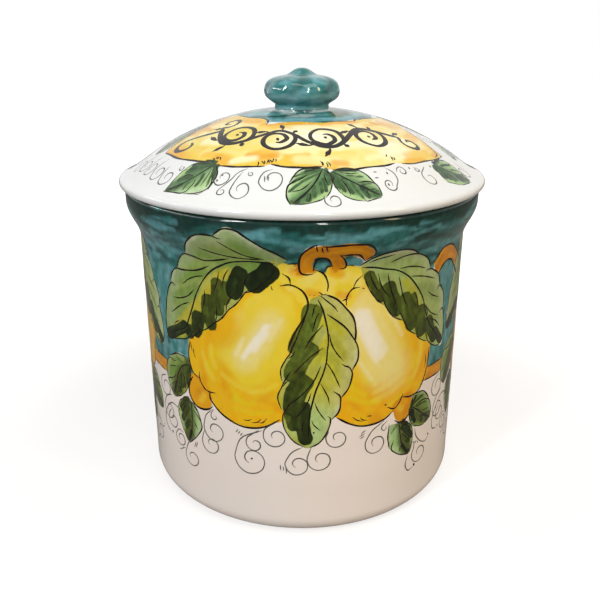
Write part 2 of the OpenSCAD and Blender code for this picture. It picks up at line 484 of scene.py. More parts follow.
def dab(p, c, i, start, bend, end, width, depth):
    """One flat, wet stroke of dark green, darker where it is laid thicker."""
    path = spline([start, bend, end], 0.7)
    run = along(path) * path_length(path)
    cap = width * 0.42
    near, far = np.clip(run / cap, 0, 1), np.clip((run[-1] - run) / (cap * 1.4), 0, 1)
    half = width / 2 * np.sqrt(1 - (1 - near) ** 2 * 0.8) * np.sqrt(1 - (1 - far) ** 2 * 0.85)
    half *= 1 + 0.05 * np.sin(run / 2.3 + i)
    side = normals(path)
    edge = np.vstack([path + side * half[:, None], (path - side * half[:, None])[::-1]])
    wash = p.wash(("dab", "dab_over")[i % 2], edge, 0.05)
    wash.stroke(path, width * 3, blend(c.leaf_deep, c.leaf_dark, depth), 1, 0.1)
    for _ in range(5):
        streak = path + side * width * p.between(-0.42, 0.42)
        dark = p.random.random() < 0.35 + 0.3 * depth
        other = c.leaf_dark if dark else blend(c.leaf_deep, c.leaf, 0.3)
        first = p.between(0, 0.5)
        wash.stroke(cut(streak, first, first + 0.45), width * 0.22, other, 0.5 - 0.3 * depth, 1.0)
    last = blend(c.leaf_deep, c.leaf_dark, min(depth + 0.35, 1))
    wash.stroke(cut(path, 0.72, 1), width * 0.8, last, 0.5, 1.0)


def vein_dabs(p, rib, edges, count, width, depth):
    """Fine dabs side by side along the veins of one half of a leaf."""
    made = []
    for share in (np.arange(count) + 0.5) / count:
        root, end = vein(rib, np.vstack(edges), share)
        start, stop = blend(root, end, p.between(0, 0.25)), blend(root, end, p.between(0.75, 0.97))
        bend = blend(start, stop, 0.5) + p.between(-0.5, 0.5, 2)
        made.append((start, bend, stop, width * p.vary(0.35), depth + p.between(-0.3, 0.2)))
    return made


def half_shade(p, wash, rib, edges, tone, strength):
    """A thin wash over one half of a leaf, which leaves a pale margin along the edge."""
    edge = np.vstack(edges)
    roots = np.array([vein_root(rib, end) for end in edge])
    wide = np.linalg.norm(edge - roots, axis=1)
    for share in (0.15, 0.5):
        wash.stroke(blend(roots, edge, share), wide.mean() * 0.62 * p.vary(0.1), tone, strength, 0.9)


def leaf_washes(p, c, wash, rib, front, back, reach, fresh, tip):
    """A leaf's colours: fresh strokes and pale margins in the light lobes, olive in the dark half."""
    pale = blend(c.leaf_pale, c.white, 0.4)
    wash.stroke(rib, 3 * reach, fresh, 1, 0.1)
    for edge in front:
        for share in np.arange(0.1, 0.95, 4.5 / max(len(edge) * 0.8, 8)):
            root, end = vein(rib, edge, share)
            other = (c.leaf_pale, c.leaf_deep, c.leaf_pale, c.leaf)[p.random.integers(4)]
            tone = blend(fresh, other, p.between(0.2, 0.6))
            path = [blend(root, end, 0.1), blend(root, end, p.between(0.7, 1))]
            wash.stroke(path, reach * 0.06, tone, 0.6, 0.9)
        roots = np.array([vein_root(rib, end) for end in edge])
        wash.stroke(blend(edge, roots, 0.1), reach * 0.1, blend(fresh, pale, 0.5), 0.6, 1.5)
        if p.random.random() < 0.5:
            wash.stroke(cut(edge, 0.35, 0.95), reach * 0.04, pale, 0.8, 1.0)
    if tip is not None:
        wash.stroke(cut(rib, 0.84, 1), reach * 0.3, tip, 0.75, 1.5)
    tones = c.leaf_olive, blend(c.leaf_olive, c.leaf_gap, 0.5), c.leaf_pale
    for edge in back:
        for share in (0.1, 0.3, 0.5, 0.7, 0.9):
            root, end = vein(rib, edge, share)
            tone = tones[p.random.choice(3, p=(0.5, 0.15, 0.35))]
            wash.stroke([blend(root, end, 0.12), blend(root, end, 0.9)], reach * 0.06, tone, 0.6, 0.8)


def leaf_ink(p, rib, front, back, tails, veins, ink):
    """A leaf's ink: its rib, the light lobes with their tails, the loose veins and the dark half's edge."""
    p.line(cut(rib, 0, 0.96, 5), ink)
    for i, edge in enumerate(front):
        if tails is None:
            tail = blend(vein_root(rib, edge[0]), edge[0], p.between(0.1, 0.6)) if i else None
        else:
            tail = tails[i]
        if tail is None:
            p.line(cut(edge, 0, 1, 5), 1.1 * ink)
        else:
            p.line(np.vstack([bowed(tail, edge[0], 0, 0.82, 0.08), cut(edge, 0.12, 1, 4)]), ink)
    if veins is None:
        veins = []
        for edge in front + back:
            for share in (0.3, 0.68) if len(edge) * 0.8 > 18 else (0.5,):
                root, end = vein(rib, edge, share)
                veins.append((blend(root, end, 0.22), blend(root, end, p.between(0.72, 0.88))))
    for start, end in veins:
        p.line(bowed(start, end, bow=p.random.choice((-1, 1)) * p.between(0.03, 0.1)), 0.8 * ink)
    for i, edge in enumerate(back):
        first = bowed(vein_root(rib, edge[0]), edge[0], 0.84, 0.94)[[0, 3]]
        rest = cut(edge, 0.08, p.between(0.86, 1), 4)
        p.line(np.vstack([first, rest]) if i else rest, 0.8 * ink)


def leaf(
    p, c, rib, light, dark, bulges, under, dabs,
    tails=None, veins=None, fresh=None, tip=None, ink=0.84, skewed=False,
):
    """A leaf on its rib, from stem to tip: one half washed and scalloped, the other in flat dark dabs.

    light and dark are the corners of each half's edge, bulges and under how far each edge bows out.
    A dab is its start, bend and end, its width and how dark it is; four plain numbers instead lay
    dabs along the veins: how many on the dark half and on the light one, their width and darkness.
    tails are where the ink of each light lobe starts, inside the leaf; veins are the starts and
    ends of the loose veins; fresh and tip are the paints of the light half and of the leaf's end."""
    rib = spline(rib)
    front, back = lobes(light, rib, bulges, skewed), lobes(dark, rib, under)
    outline = np.vstack([*front, *[edge[::-1] for edge in back[::-1]]])
    wash = p.wash("leaf", outline)
    fresh = c.leaf if fresh is None else fresh
    leaf_washes(p, c, wash, rib, front, back, np.ptp(outline, axis=0).max(), fresh, tip)
    if np.isscalar(dabs[0]):
        dark_count, light_count, width, depth = dabs
        half_shade(p, wash, rib, back, blend(c.leaf_deep, c.leaf_dark, 0.6 * depth), 0.85)
        dabs = vein_dabs(p, rib, back, dark_count, width, depth)
        if light_count:
            half_shade(p, wash, rib, front, c.leaf_deep, 0.3)
            dabs += vein_dabs(p, rib, front, light_count, width * 0.6, depth)
        dabs.append((rib[-12], rib[-7], rib[-2], width * 0.7, 1.0))
    for i, (start, bend, end, width, depth) in enumerate(dabs):
        dab(p, c, i, start, bend, end, width, depth)
    leaf_ink(p, rib, front, back, tails, veins, ink)


def ticks(p, x, y, count, run, stroke):
    """A few short strokes side by side, as a painter flicks them in."""
    for i in range(count):
        start = np.array([x, y]) + i * np.asarray(run)
        p.scroll(
            [start, start + 0.55 * np.asarray(stroke) + 0.15, start + np.asarray(stroke) * p.vary(0.2)], 0.7
        )


def lemon_rim(p, c, wash, body, centre, reach, shade):
    """The rim of a lemon, which deepens towards shade, and short strokes on the shaded side."""
    for inset, wide, strength in ((0.6, 0.24, 0.4), (0.74, 0.21, 0.75), (0.86, 0.21, 0.9), (0.95, 0.19, 1.0)):
        ring = centre + (body - centre) * inset
        for i in range(0, len(ring), 4):
            part = np.take(ring, range(i, i + p.random.integers(5, 12)), axis=0, mode="wrap")
            out = part[len(part) // 2] - centre
            deep = smooth(0.45 + 0.75 * out @ toward(shade) / np.linalg.norm(out))
            tone = blend(c.lemon_deep, c.lemon_sharp, p.random.random() * (1 - 0.55 * deep * (inset > 0.8)))
            if p.random.random() < 0.2 * deep:
                tone = blend(c.lemon_deep, c.ochre, 0.35)
            wash.stroke(
                part, wide * reach * p.vary(0.4), tone, strength * max(deep, 0.45 * (inset > 0.9)), 0.7
            )
    for i in range(10):
        turn = shade + p.between(-80, 80)
        at = centre + toward(turn) * reach * p.between(0.35, 0.7)
        across = toward(turn + 90) * reach * p.between(0.1, 0.22)
        tone = (c.lemon, c.lemon_deep, c.lemon_sharp)[i % 3]
        wash.stroke([at - across, at + (at - centre) * 0.06, at + across], 0.06 * reach, tone, 0.6, 0.8)


def lemon_streak(p, c, wash, streak, run, side, width):
    """The bare streak of light on a lemon, with thin yellow strokes beside it."""
    half_light = blend(c.lemon_pale, c.lemon_light, 0.5)
    for i in range(16):
        start = p.between(-0.25, 0.7)
        at = blend(streak[0], streak[-1], start) + side * width * p.between(-1.4, 1.4)
        tone = (c.lemon_pale, c.lemon_sharp, half_light)[i % 3]
        wash.stroke([at, at + run * p.between(0.2, 0.5) + side], 2.4, tone, 0.5, 0.9)
    wash.stroke(streak, width * 1.9, blend(c.lemon_pale, c.lemon_light, 0.4), 0.55, 1.5)
    for i in range(7):
        start = p.between(0, 0.35)
        path = cut(spline(streak), start, start + p.between(0.4, 0.65))
        wash.stroke(path + side * width * p.between(-0.3, 0.3), width * 0.4, c.lemon_light, 0.6, 1.2)


def lemon(p, c, outline, shade, streak, width, lines):
    """A lemon: a pale middle, a rim that deepens towards shade in degrees, a bare streak and its ink."""
    body = spline(outline, 1.2, closed=True)
    centre = body.mean(0)
    reach = np.linalg.norm(body - centre, axis=1).max()
    wash = p.wash("fruit", body)
    wash.stroke(body, 4 * reach, c.lemon, 1, 0.1)
    run = np.asarray(streak[-1], float) - streak[0]
    ahead = run / np.linalg.norm(run)
    side = np.array([-ahead[1], ahead[0]])
    tones = c.lemon_pale, blend(c.lemon, c.lemon_sharp, 0.7), c.lemon, c.lemon_sharp
    for i in range(26):
        middle = centre + reach * (side * p.between(-0.65, 0.65) + ahead * p.between(-0.45, 0.45))
        swing = run * p.between(0.15, 0.4)
        path = [middle - swing, middle + side * 1.5, middle + swing]
        wash.stroke(path, reach * p.between(0.12, 0.26), tones[i % 4], 0.45, 1.6)
    low = centre + reach * 0.34 * toward(shade)
    wash.stroke([low - side * reach * 0.3, low + side * reach * 0.3], reach * 0.62, c.lemon_sharp, 0.5, 5)
    lemon_rim(p, c, wash, body, centre, reach, shade)
    lemon_streak(p, c, wash, streak, run, side, width)
    for points, thick in lines:
        p.line(points, 0.8 * thick)


def nub(p, c, outline, tone, lines):
    """The pointed or rounded end of a lemon."""
    body = spline(outline, 1.0, closed=True)
    wash = p.wash("fruit", body)
    wash.stroke(body, 60, tone, 1, 0.1)
    for i in range(5):
        at = body.mean(0) + p.between(-4, 4, 2)
        other = (c.lemon_deep, c.ochre, c.lemon)[i % 3]
        wash.stroke([at, at + p.between(-3, 3, 2)], 4, other, 0.45, 1.1)
    for points, thick in lines:
        p.line(points, thick)


def twig(p, c, points, width):
    """A length of ochre twig, as its middle line and the way from it to its left edge."""
    path = spline(points, 1.2)
    side = normals(path)
    half = width / 2 * (1 + 0.08 * np.sin(along(path) * 9 + 1))[:, None]
    cap = path[-1] + (path[-1] - path[-3]) * 0.5
    wash = p.wash("fruit", np.vstack([path + side * half, cap, (path - side * half)[::-1]]))
    wash.stroke(path, width * 3, c.ochre, 1, 0.1)
    for i in range(14):
        start = p.between(0, 0.8)
        tone = (c.ochre_dark, blend(c.ochre, c.lemon_deep, 0.6), c.ochre)[i % 3]
        off = side * width * p.between(-0.4, 0.4)
        wash.stroke(cut(path + off, start, start + 0.25), width * 0.3, tone, 0.5, 0.9)
    return path, side * half


def inked_twig(p, c, points, width):
    """A twig with both its edges inked, and flicks across its bark."""
    path, half = twig(p, c, points, width)
    p.line(cut(path + half, 0, 1, 4), 1.1)
    p.line(cut(path - half, 0, 1, 4), 1.1)
    for share in (0.3, 0.36, 0.42):
        k = int(share * (len(path) - 1))
        p.line(bowed(path[k] + half[k] * 1.15, path[k] + half[k] * 0.2, bow=0.15), 0.7)


def curl(p, tail, centre, radius, turns=1.2, hand=1, width=0.65, draw=None):
    """A scroll: a tail that sweeps into a spiral about its centre."""
    centre, last = np.asarray(centre, float), np.asarray(tail[-1], float)
    first = math.atan2(*(last - centre)[::-1])
    start = np.linalg.norm(last - centre)
    t = np.linspace(0.06, 1, int(10 * turns) + 2)
    size = np.interp(t, [0, 0.22, 1], [start, (start + radius) / 2, radius * 0.32])
    angle = first + hand * 2 * math.pi * turns * t
    path = np.vstack([tail, centre + np.column_stack([np.cos(angle), np.sin(angle)]) * size[:, None]])
    (draw or p.scroll)(path, width)


# ---------------------------------------------------------------- the wall's painting


def left_leaf(p, c):
    """The broad leaf over the left lemon."""
    leaf(
        p, c,
        ((-12, 151), (-22, 151.4), (-30, 150.6), (-38, 147.8), (-46, 142.5), (-51, 136.5), (-56, 127),
         (-60, 117), (-64, 110.5), (-72, 106.5), (-80.5, 102)),
        ((-6, 153), (-39, 163.3), (-59.3, 150.6), (-66.8, 141.5), (-73.2, 133), (-80, 102.5)),
        ((-10.5, 150.5), (-27.5, 135), (-37, 125), (-44, 117.5), (-53.5, 111.3), (-62, 105.3),
         (-80.5, 101.5)), (0.2, 0.17, 0.14, 0.14, 0.08), (0.1, 0.08, 0.08, 0.08, 0.08, 0.06),
        (((-36.5, 140), (-37, 134), (-37.5, 128), 5.5, 0.1),
         ((-12.5, 150.3), (-17.5, 144.3), (-26, 138), 10.4, 1.0),
         ((-41.5, 141), (-42, 131), (-40.5, 122), 6.6, 0.35),
         ((-27.5, 147.8), (-31, 140.5), (-33.5, 131.5), 8.8, 0.95),
         ((-47.5, 132), (-47.5, 123), (-45, 113.5), 7.4, 0.5),
         ((-61, 113.5), (-60.5, 110), (-59.5, 105.5), 6, 0.5),
         ((-53.8, 122), (-54.5, 115), (-56.8, 107.5), 8, 0.8),
         ((-61.5, 113), (-69, 108), (-80, 102), 6.5, 0.95)),
        (None, (-35, 162.2), (-34.5, 151.6), (-45.5, 146.6), (-69, 131.9)),
        (((-17, 153), (-37, 160.5)), ((-19, 153), (-49, 155.6)), ((-49, 140.8), (-63.5, 134)),
         ((-55.5, 132.5), (-71.5, 125)), ((-59, 125), (-73.5, 116.5)), ((-67, 114), (-72.5, 110)),
         ((-35, 146), (-38.5, 138)), ((-40, 144.5), (-44, 133)), ((-25, 145), (-28, 138.5)),
         ((-49, 134), (-50.5, 124)), ((-53, 117), (-55, 110)), ((-42.2, 127), (-43, 118.5)),
         ((-31.3, 135.5), (-37.3, 124.2))), skewed=True,
    )


def right_leaf(p, c):
    """The broad leaf over the right lemon."""
    leaf(
        p, c,
        ((28.5, 147.7), (34, 147.2), (40, 145.8), (46, 144.2), (52, 141.3), (57, 137.3), (61, 132.8),
         (64.5, 127.5), (67, 122), (69, 116), (72.5, 110), (79, 103.5), (86.3, 95.3)),
        ((27, 149), (60.5, 150), (70, 140.3), (79.7, 129.5), (84.6, 116), (86.6, 96)),
        ((28.3, 144.6), (41, 127.5), (52.3, 117.5), (62.3, 107.2), (71, 101.3), (86.3, 94.8)),
        (0.15, 0.16, 0.16, 0.16, 0.08), (0.07, 0.1, 0.1, 0.1, 0.1),
        (((57.5, 130.5), (60, 121), (61, 113.5), 5, 0.1),
         ((30.5, 145.5), (35, 138), (39.8, 129.5), 5.6, 0.45),
         ((63.5, 123), (64.5, 114), (67, 105.5), 8.6, 0.45),
         ((42, 139), (44.5, 130.5), (50, 121), 8.6, 0.65), ((77, 106.5), (80.5, 102), (86, 95.8), 5, 0.85),
         ((52.5, 132), (54, 122.5), (59.5, 111), 8, 0.4), ((70.3, 115), (73, 108), (79, 99), 7, 0.65)),
        (None, (43, 148.6), (66.5, 139.9), (77, 127.2), (81, 114)),
        (((31, 149.6), (44, 152.4)), ((48.5, 144.6), (65.5, 141.8)), ((56, 139.4), (74, 134.3)),
         ((69, 129), (79, 122.8)), ((67.5, 122), (80, 113)), ((71, 113.5), (82.5, 106)),
         ((32, 145.5), (38, 134)), ((36.5, 144), (43, 131)), ((41.5, 143.5), (48, 126)),
         ((48, 140.5), (54.5, 124)), ((58.5, 131.5), (62, 121)), ((67.6, 121.5), (69.5, 113))),
        fresh=c.leaf_soft,
    )


def hanging_leaf(p, c):
    """The long leaf that hangs between the lemons."""
    leaf(
        p, c,
        ((7.5, 133.5), (9.7, 128), (11.4, 121), (12.5, 112), (12, 103), (9.5, 93), (6.5, 85), (4.4, 76),
         (3.6, 66), (3.2, 56)),
        ((10.5, 136.3), (26.2, 110.5), (24.6, 95.5), (19.3, 81.3), (14.5, 69.5), (3.6, 54.2)),
        ((4, 134.2), (-7, 104), (-9.2, 90), (-9, 74.5), (3, 54)), (0.17, 0.14, 0.12, 0.14, 0.15),
        (-0.03, 0.16, 0.16, 0.19),
        (((5.5, 131.5), (3, 120), (-4.5, 106), 9.5, -0.1), ((6, 111.5), (0, 103.5), (-6.5, 91.5), 9.6, 0.2),
         ((-6.5, 76), (-5.5, 71), (-3.5, 64), 6, 0.5), ((3.8, 94), (-2.5, 86), (-5.5, 72.5), 10.4, 0.55),
         ((1, 80.5), (0, 70), (2.6, 56), 7.6, 0.85)),
        (None, (11.4, 126), (19.5, 99.8), (15.2, 85.5), (12.9, 72.2)),
        (((7.5, 137.2), (10.6, 135.8)), ((8.5, 135.5), (17.2, 127)), ((12.9, 116), (20, 101.5)),
         ((11.5, 101.5), (18.6, 87.3)), ((9, 90), (13.7, 78.5)), ((6.3, 80), (12, 69.5)),
         ((5, 70), (9.3, 64)), ((7, 131.5), (4.7, 124.7)), ((8, 127), (4.8, 117.7)), ((10, 121), (1, 108.3)),
         ((10, 109), (-4.5, 94.7)), ((9.3, 99.7), (-5.5, 79)), ((4.5, 85), (-3.5, 70.5)),
         ((1, 70), (0.5, 62)), ((-3.3, 107.6), (-6.6, 103.6)), ((-6.5, 92), (-9.2, 88.5))),
        fresh=c.leaf_lime, tip=c.lid_leaf,
    )


def small_leaves(p, c):
    """The two pairs of small leaves at the lemons' lower ends."""
    for rib, light, dark, bulges, under, dabs, fresh in (
        (((61, 67), (67, 62.5), (73, 57.5), (79, 53)), ((62.5, 73.5), (76.5, 66), (79, 53.5)),
         ((60, 66), (65, 53.5), (78.5, 52.8)), (0.2, 0.1), (0.15, 0.1), (6, 4, 2.8, 0.8), c.leaf),
        (((53.5, 60), (54.5, 52), (56, 46), (61.5, 38)), ((47, 60.5), (48, 46), (61, 38)),
         ((57, 59.5), (64.2, 48), (62, 38)), (0.08, 0.1), (0.15, 0.05), (7, 0, 2.8, 0.75), c.lid_leaf),
        (((-62, 90.5), (-68, 88), (-73, 80), (-77, 68)),
         ((-62, 93.5), (-80, 89.5), (-83, 76), (-77.5, 67.5)), ((-62, 89), (-64, 79), (-69, 71), (-77, 67)),
         (0.14, 0.12, 0.08), (0.1, 0.1, 0.05), (8, 0, 2.8, 0.6), c.leaf),
        (((-63, 70), (-62.5, 60), (-63.5, 52), (-66.5, 43.5)), ((-61, 69), (-55.3, 57), (-66, 43)),
         ((-66, 70), (-74.5, 60), (-67, 43.5)), (0.08, 0.08), (0.15, 0.06), (8, 0, 2.8, 0.7), c.lid_leaf),
    ):
        leaf(p, c, rib, light, dark, bulges, under, dabs, fresh=fresh, ink=0.7)


def left_lemon(p, c):
    """The left lemon, slung low to the left, and the rounded nub at its end."""
    lemon(
        p, c,
        ((2.7, 132), (4, 124), (2, 114), (-1, 104), (-4, 92), (-5, 80), (-7, 71), (-14, 67.5), (-22, 64.5),
         (-30, 63.8), (-38, 65.5), (-45, 70.5), (-49, 77), (-54, 82), (-60, 87.5), (-62, 96), (-61, 105),
         (-54, 113), (-45, 120), (-36, 131), (-27, 139), (-17, 144.5), (-8, 145), (1, 139)), -140,
        ((-28, 101), (-22, 110), (-15, 121)), 6.5,
        ((((-10, 140), (-5, 140.7), (0, 138), (2.7, 133.5), (2.6, 129), (0.5, 123.5), (-3, 117), (-7, 108)),
          1.15),
         (((-49, 79.5), (-48.6, 75), (-45.5, 70.8), (-40, 66.8), (-32, 64), (-24, 63.7), (-17, 66),
           (-11, 70)), 1.3), (((-55, 88.5), (-55, 84.5), (-52.5, 80.3), (-49.5, 78.6), (-45.5, 79)), 1.0),
         (((-60.5, 104), (-62, 97), (-61.2, 91), (-59, 86.6), (-55.2, 84.8)), 1.0),
         (((-60, 103.5), (-59.8, 101), (-59.2, 99)), 0.8), (((-58.5, 101), (-58.2, 98.5), (-57.3, 96)), 0.8),
         (((-30, 67.6), (-27.5, 67.6), (-25, 68.5)), 0.8),
         (((-25.5, 66.8), (-22.5, 67.5), (-20.5, 69.5)), 0.8),
         (((-22.5, 67.2), (-19.5, 67.6), (-17.3, 70)), 0.8),
         (((-13.8, 140), (-13.9, 138.8), (-13.2, 138)), 0.7)),
    )
    nub(
        p, c,
        ((-50, 79.5), (-48, 72), (-51, 68.5), (-56, 67.3), (-60.5, 69.3), (-63.6, 75), (-62.5, 81),
         (-58, 84.8), (-54, 84)), blend(c.lemon_deep, c.ochre, 0.3),
        ((((-60, 84.5), (-63.2, 79), (-63, 73), (-59.5, 68.6), (-55, 67.3), (-50.5, 68.7), (-47.5, 71)),
          1.1),),
    )


def right_lemon(p, c):
    """The right lemon, fuller and paler, and the nub at its end."""
    lemon(
        p, c,
        ((15, 130.5), (22, 138), (28, 143.5), (39, 139), (49, 128), (59, 116), (68, 106.5), (74, 100),
         (73.5, 90), (71.5, 82), (67, 75.5), (60, 72.5), (54, 70), (47, 67), (39, 63.8), (31, 64), (23, 67),
         (16, 72), (12, 85), (12, 100), (13, 116)), -70, ((28, 126), (35, 111), (46, 92)), 11,
        ((((27.5, 138.5), (23.5, 137.8), (21.3, 134), (21, 130)), 1.0),
         (((18.8, 132.3), (21.6, 133.2)), 0.9), (((28.5, 144.2), (25.5, 141.5), (24, 138)), 0.8),
         (((17.5, 70.5), (24, 66.2), (31, 64), (38, 63.9), (44, 65.3), (48.5, 68)), 1.3),
         (((44.8, 71.2), (49.5, 69.4), (53, 72), (55, 76.5)), 1.0),
         (((54.5, 74.5), (60.5, 73), (66.5, 75), (70.5, 79.8), (72.8, 88), (73.6, 97)), 1.1),
         (((25.5, 69.7), (28, 67.8), (31, 66.3)), 0.8), (((29.5, 69), (31, 67.4), (33.2, 66.5)), 0.8),
         (((33.3, 69), (36, 68.6)), 0.8), (((43.2, 73.3), (44.3, 72.5)), 1.3),
         (((70.5, 94), (71, 90), (70.3, 86.5)), 0.8), (((28.6, 138), (29.6, 137)), 0.8)),
    )
    nub(
        p, c, ((49.5, 70), (50.5, 62.8), (55.5, 60.2), (60.3, 63), (61.6, 68), (61, 73.5), (55.5, 74.8)),
        blend(c.ochre, c.lemon_deep, 0.25),
        ((((61.8, 72.3), (62, 67.5), (61, 64)), 1.0),
         (((50, 62.5), (53, 60.4), (57, 60.4), (60.5, 63.7)), 1.1)),
    )


def buds_and_twig(p, c):
    """The forked twig and the two buds that the lemons hang from."""
    for outline, low, high in (
        (((-13, 147), (-12, 151.5), (-4, 151), (2, 150), (8, 147.5), (12, 143), (12.3, 137.5), (9, 131.5),
          (3, 130.5), (-2, 136), (-7, 141)), (5, 136.5), (-2, 147)),
        (((11, 147), (13, 149.6), (17, 150), (21.5, 149.8), (27.5, 148), (29.5, 144), (26, 137), (23, 130.5),
          (17, 130.5), (11, 134), (11, 139)), (19.5, 135), (16, 146)),
    ):
        body = spline(outline, 1.0, closed=True)
        wash = p.wash("fruit", body)
        wash.stroke(body, 60, c.lemon, 1, 0.1)
        for i in range(9):
            at = body.mean(0) + p.between(-7, 7, 2)
            tone = (c.lemon_sharp, c.lemon_pale, c.lemon_pale)[i % 3]
            wash.stroke([at, at + p.between(-3, 3, 2)], 4.5, tone, 0.5, 1.1)
        for x, y in (low, high):
            wash.stroke(
                [(x - 2, y + 0.5), (x + 2, y - 0.5)], 4, blend(c.lemon_deep, c.ochre, 0.35), 0.75, 1.1
            )
    for points, width in (
        (((-9, 146.3), (-6, 144), (-5, 140.6)), 0.85),
        (((5.6, 148.6), (10, 146), (12, 141.5), (11.9, 137.5)), 0.85),
        (((10.4, 147.6), (12, 149.6), (14.3, 150)), 0.8),
        (((-6.5, 150.8), (-3.5, 151.1), (-0.5, 150.9)), 0.8),
        (((20.6, 149.7), (22.5, 149.8), (24.3, 148.9)), 0.6),
    ):
        p.line(points, width)
    for x in (3.2, 5.4, 7.4):
        p.line([(x, 135.7), (x + 0.9, 135.9)], 0.6)
    twig(p, c, ((9, 157.5), (14.5, 155), (17.6, 149.5)), 5.6)
    twig(
        p, c, ((1.9, 147.3), (1.6, 152), (4, 156.6), (9.5, 157.8), (16, 157.8), (24, 157.7), (31.3, 154)), 6.2
    )
    for points, width in (
        (((4.6, 146.2), (2, 145.7), (-0.6, 147.2), (-1.4, 151), (-0.6, 155.5), (2.2, 158.6), (5.8, 161),
          (7, 161.1)), 1.0),
        (((8.8, 160.8), (10.4, 160), (17, 160.4), (24, 160.5), (29.5, 159.6), (32.5, 157), (33.9, 154.4)),
         1.0),
        (((5.1, 147.4), (5.6, 150.6), (6.8, 153.6), (9.3, 154.1), (11.9, 153.2), (13.3, 150.2), (14, 149.3)),
         0.95), (((16.6, 155.4), (19, 152.8), (20.2, 149.8), (19.3, 148.3), (17.2, 148)), 0.9),
        (((17, 155.2), (22, 155.1), (25.6, 154.6), (27.8, 152.6), (29.3, 151.4)), 0.9),
        (((29.8, 151.6), (31.8, 153), (33.6, 154.3)), 0.8),
    ):
        p.line(points, width)
    for x, y in ((6.2, 161), (8.5, 160.3), (10.5, 160.6)):
        p.line([(x, y), (x + 0.1, y - 1.4), (x + 0.5, y - 3.2)], 0.7)


def wall_scrolls(p):
    """The thin grey scrolls that hang below the fruit."""
    for tail, centre, radius, turns in (
        (((-20, 63), (-31, 57), (-34.8, 48)), (-26, 45), 8, 1.22),
        (((-21.5, 63), (-26.8, 59)), (-24, 54.5), 3.7, 1.1), (((-12, 69), (-17.5, 65)), (-13, 60), 5.8, 1.2),
        (((-47.5, 69.5), (-52, 65), (-53.6, 60)), (-47, 57), 6, 1.2),
        (((-53.5, 56), (-55.3, 51)), (-49.5, 48), 5, 1.15),
        (((-62, 47), (-66.5, 43), (-69, 37.5)), (-64, 34.5), 5.4, 1.15),
        (((-80, 66.5), (-86, 63.5), (-89.5, 58)), (-83.8, 56), 5, 1.15),
        (((-71, 47), (-75, 47.5), (-78, 44)), (-73.5, 42.5), 4.2, 1.2),
        (((0.5, 54.8), (-5, 51.5), (-8.2, 46)), (-2, 44.3), 6, 1.2),
        (((4.8, 54.5), (3.2, 50)), (9.5, 47), 5.8, 1.2), (((13.8, 68), (13, 62.5)), (18, 59), 5.2, 1.2),
        (((43.5, 64), (37, 60.3), (33.6, 55)), (39.2, 52), 5.8, 1.2),
        (((45.5, 63.5), (42.8, 61.5)), (44, 59.8), 1.7, 0.8),
        (((66, 44), (65.4, 39.5)), (70.6, 35.3), 5.2, 1.2), (((86.5, 77), (81, 74.5)), (85.4, 70), 5.8, 1.2),
        (((90, 58), (87.5, 55)), (91.5, 51.5), 4.8, 1.1),
        (((-47, 69.5), (-48.5, 67)), (-46.6, 65.3), 1.8, 0.8),
    ):
        curl(p, tail, centre, radius, turns)
    for sweep in (
        ((65.5, 52), (67, 47), (71, 42), (75.5, 39.8), (78.6, 41.5)),
        ((61, 37), (59.6, 31.5), (62, 27.2), (66, 28)),
        ((99, 61), (91.5, 62), (85.5, 57.5), (81.8, 50), (83.2, 44.5), (88, 42.4)),
    ):
        p.scroll(sweep, 0.75)
    for x, y, width in ((78.7, 42.6, 2), (66.6, 28.8, 2), (89.6, 43, 2), (-26, 45.3, 1.2), (5.8, 62.7, 1.2)):
        p.line([(x - 0.5, y), (x + 0.6, y + 0.4)], width)
    ticks(p, -33, 61.5, 4, (1.2, -0.9), (-1.7, -2.4))
    ticks(p, -11, 44, 3, (1.4, -0.9), (0.2, -3))
    ticks(p, 33, 61, 3, (-0.4, -1.6), (-2.6, -1.6))
    ticks(p, -59.5, 46, 2, (-1.2, -0.4), (-1.4, -4))
    ticks(p, -70, 38, 3, (-1.5, -1), (-2.4, -1.2))
    ticks(p, 68, 43.5, 3, (-1.6, 0.4), (0.8, -2))


def lemon_group(p, c, shift, lift=0.0, twig_to_left=False):
    """Two lemons on a forked twig with their leaves and scrolls."""
    p.stand(shift=(shift, lift))
    if twig_to_left:
        inked_twig(p, c, ((-66, 132), (-72, 138), (-80, 144), (-89, 145), (-96.5, 139.5)), 8)
    left_lemon(p, c)
    right_lemon(p, c)
    buds_and_twig(p, c)
    small_leaves(p, c)
    hanging_leaf(p, c)
    left_leaf(p, c)
    right_leaf(p, c)
    wall_scrolls(p)


def back_sprig(p, c, middle):
    """The smaller sprig that closes the ring of lemons at the back: a lemon, its twig and two leaves."""
    p.stand(shift=(middle + 22, 26), scale=0.7)
    inked_twig(p, c, ((-2, 136), (-6, 150), (2, 160), (17, 161)), 8)
    left_lemon(p, c)
    hanging_leaf(p, c)
    left_leaf(p, c)
    p.stand(shift=(middle, 0))
    for x, y, radius in ((-14, 57, 6), (-1, 62, 4.6), (15, 64, 4.4), (-27, 71, 4), (26, 55, 5)):
        curl(p, [(x + 3, y + 8), (x, y)], (x + radius, y - 3), radius)
    ticks(p, -2, 50, 3, (1.4, -0.9), (0.2, -3))


RING_LOW, RING_MIDDLE, RING_HIGH = 78.8, 82, 86.2  # the ochre ring round the wall, above the table


def ring_wave(u):
    """How far the ochre ring's edges wander up and down, round the wall."""
    return 0.5 * np.sin(u / 21) + 0.35 * np.sin(u / 8.3 + 1)


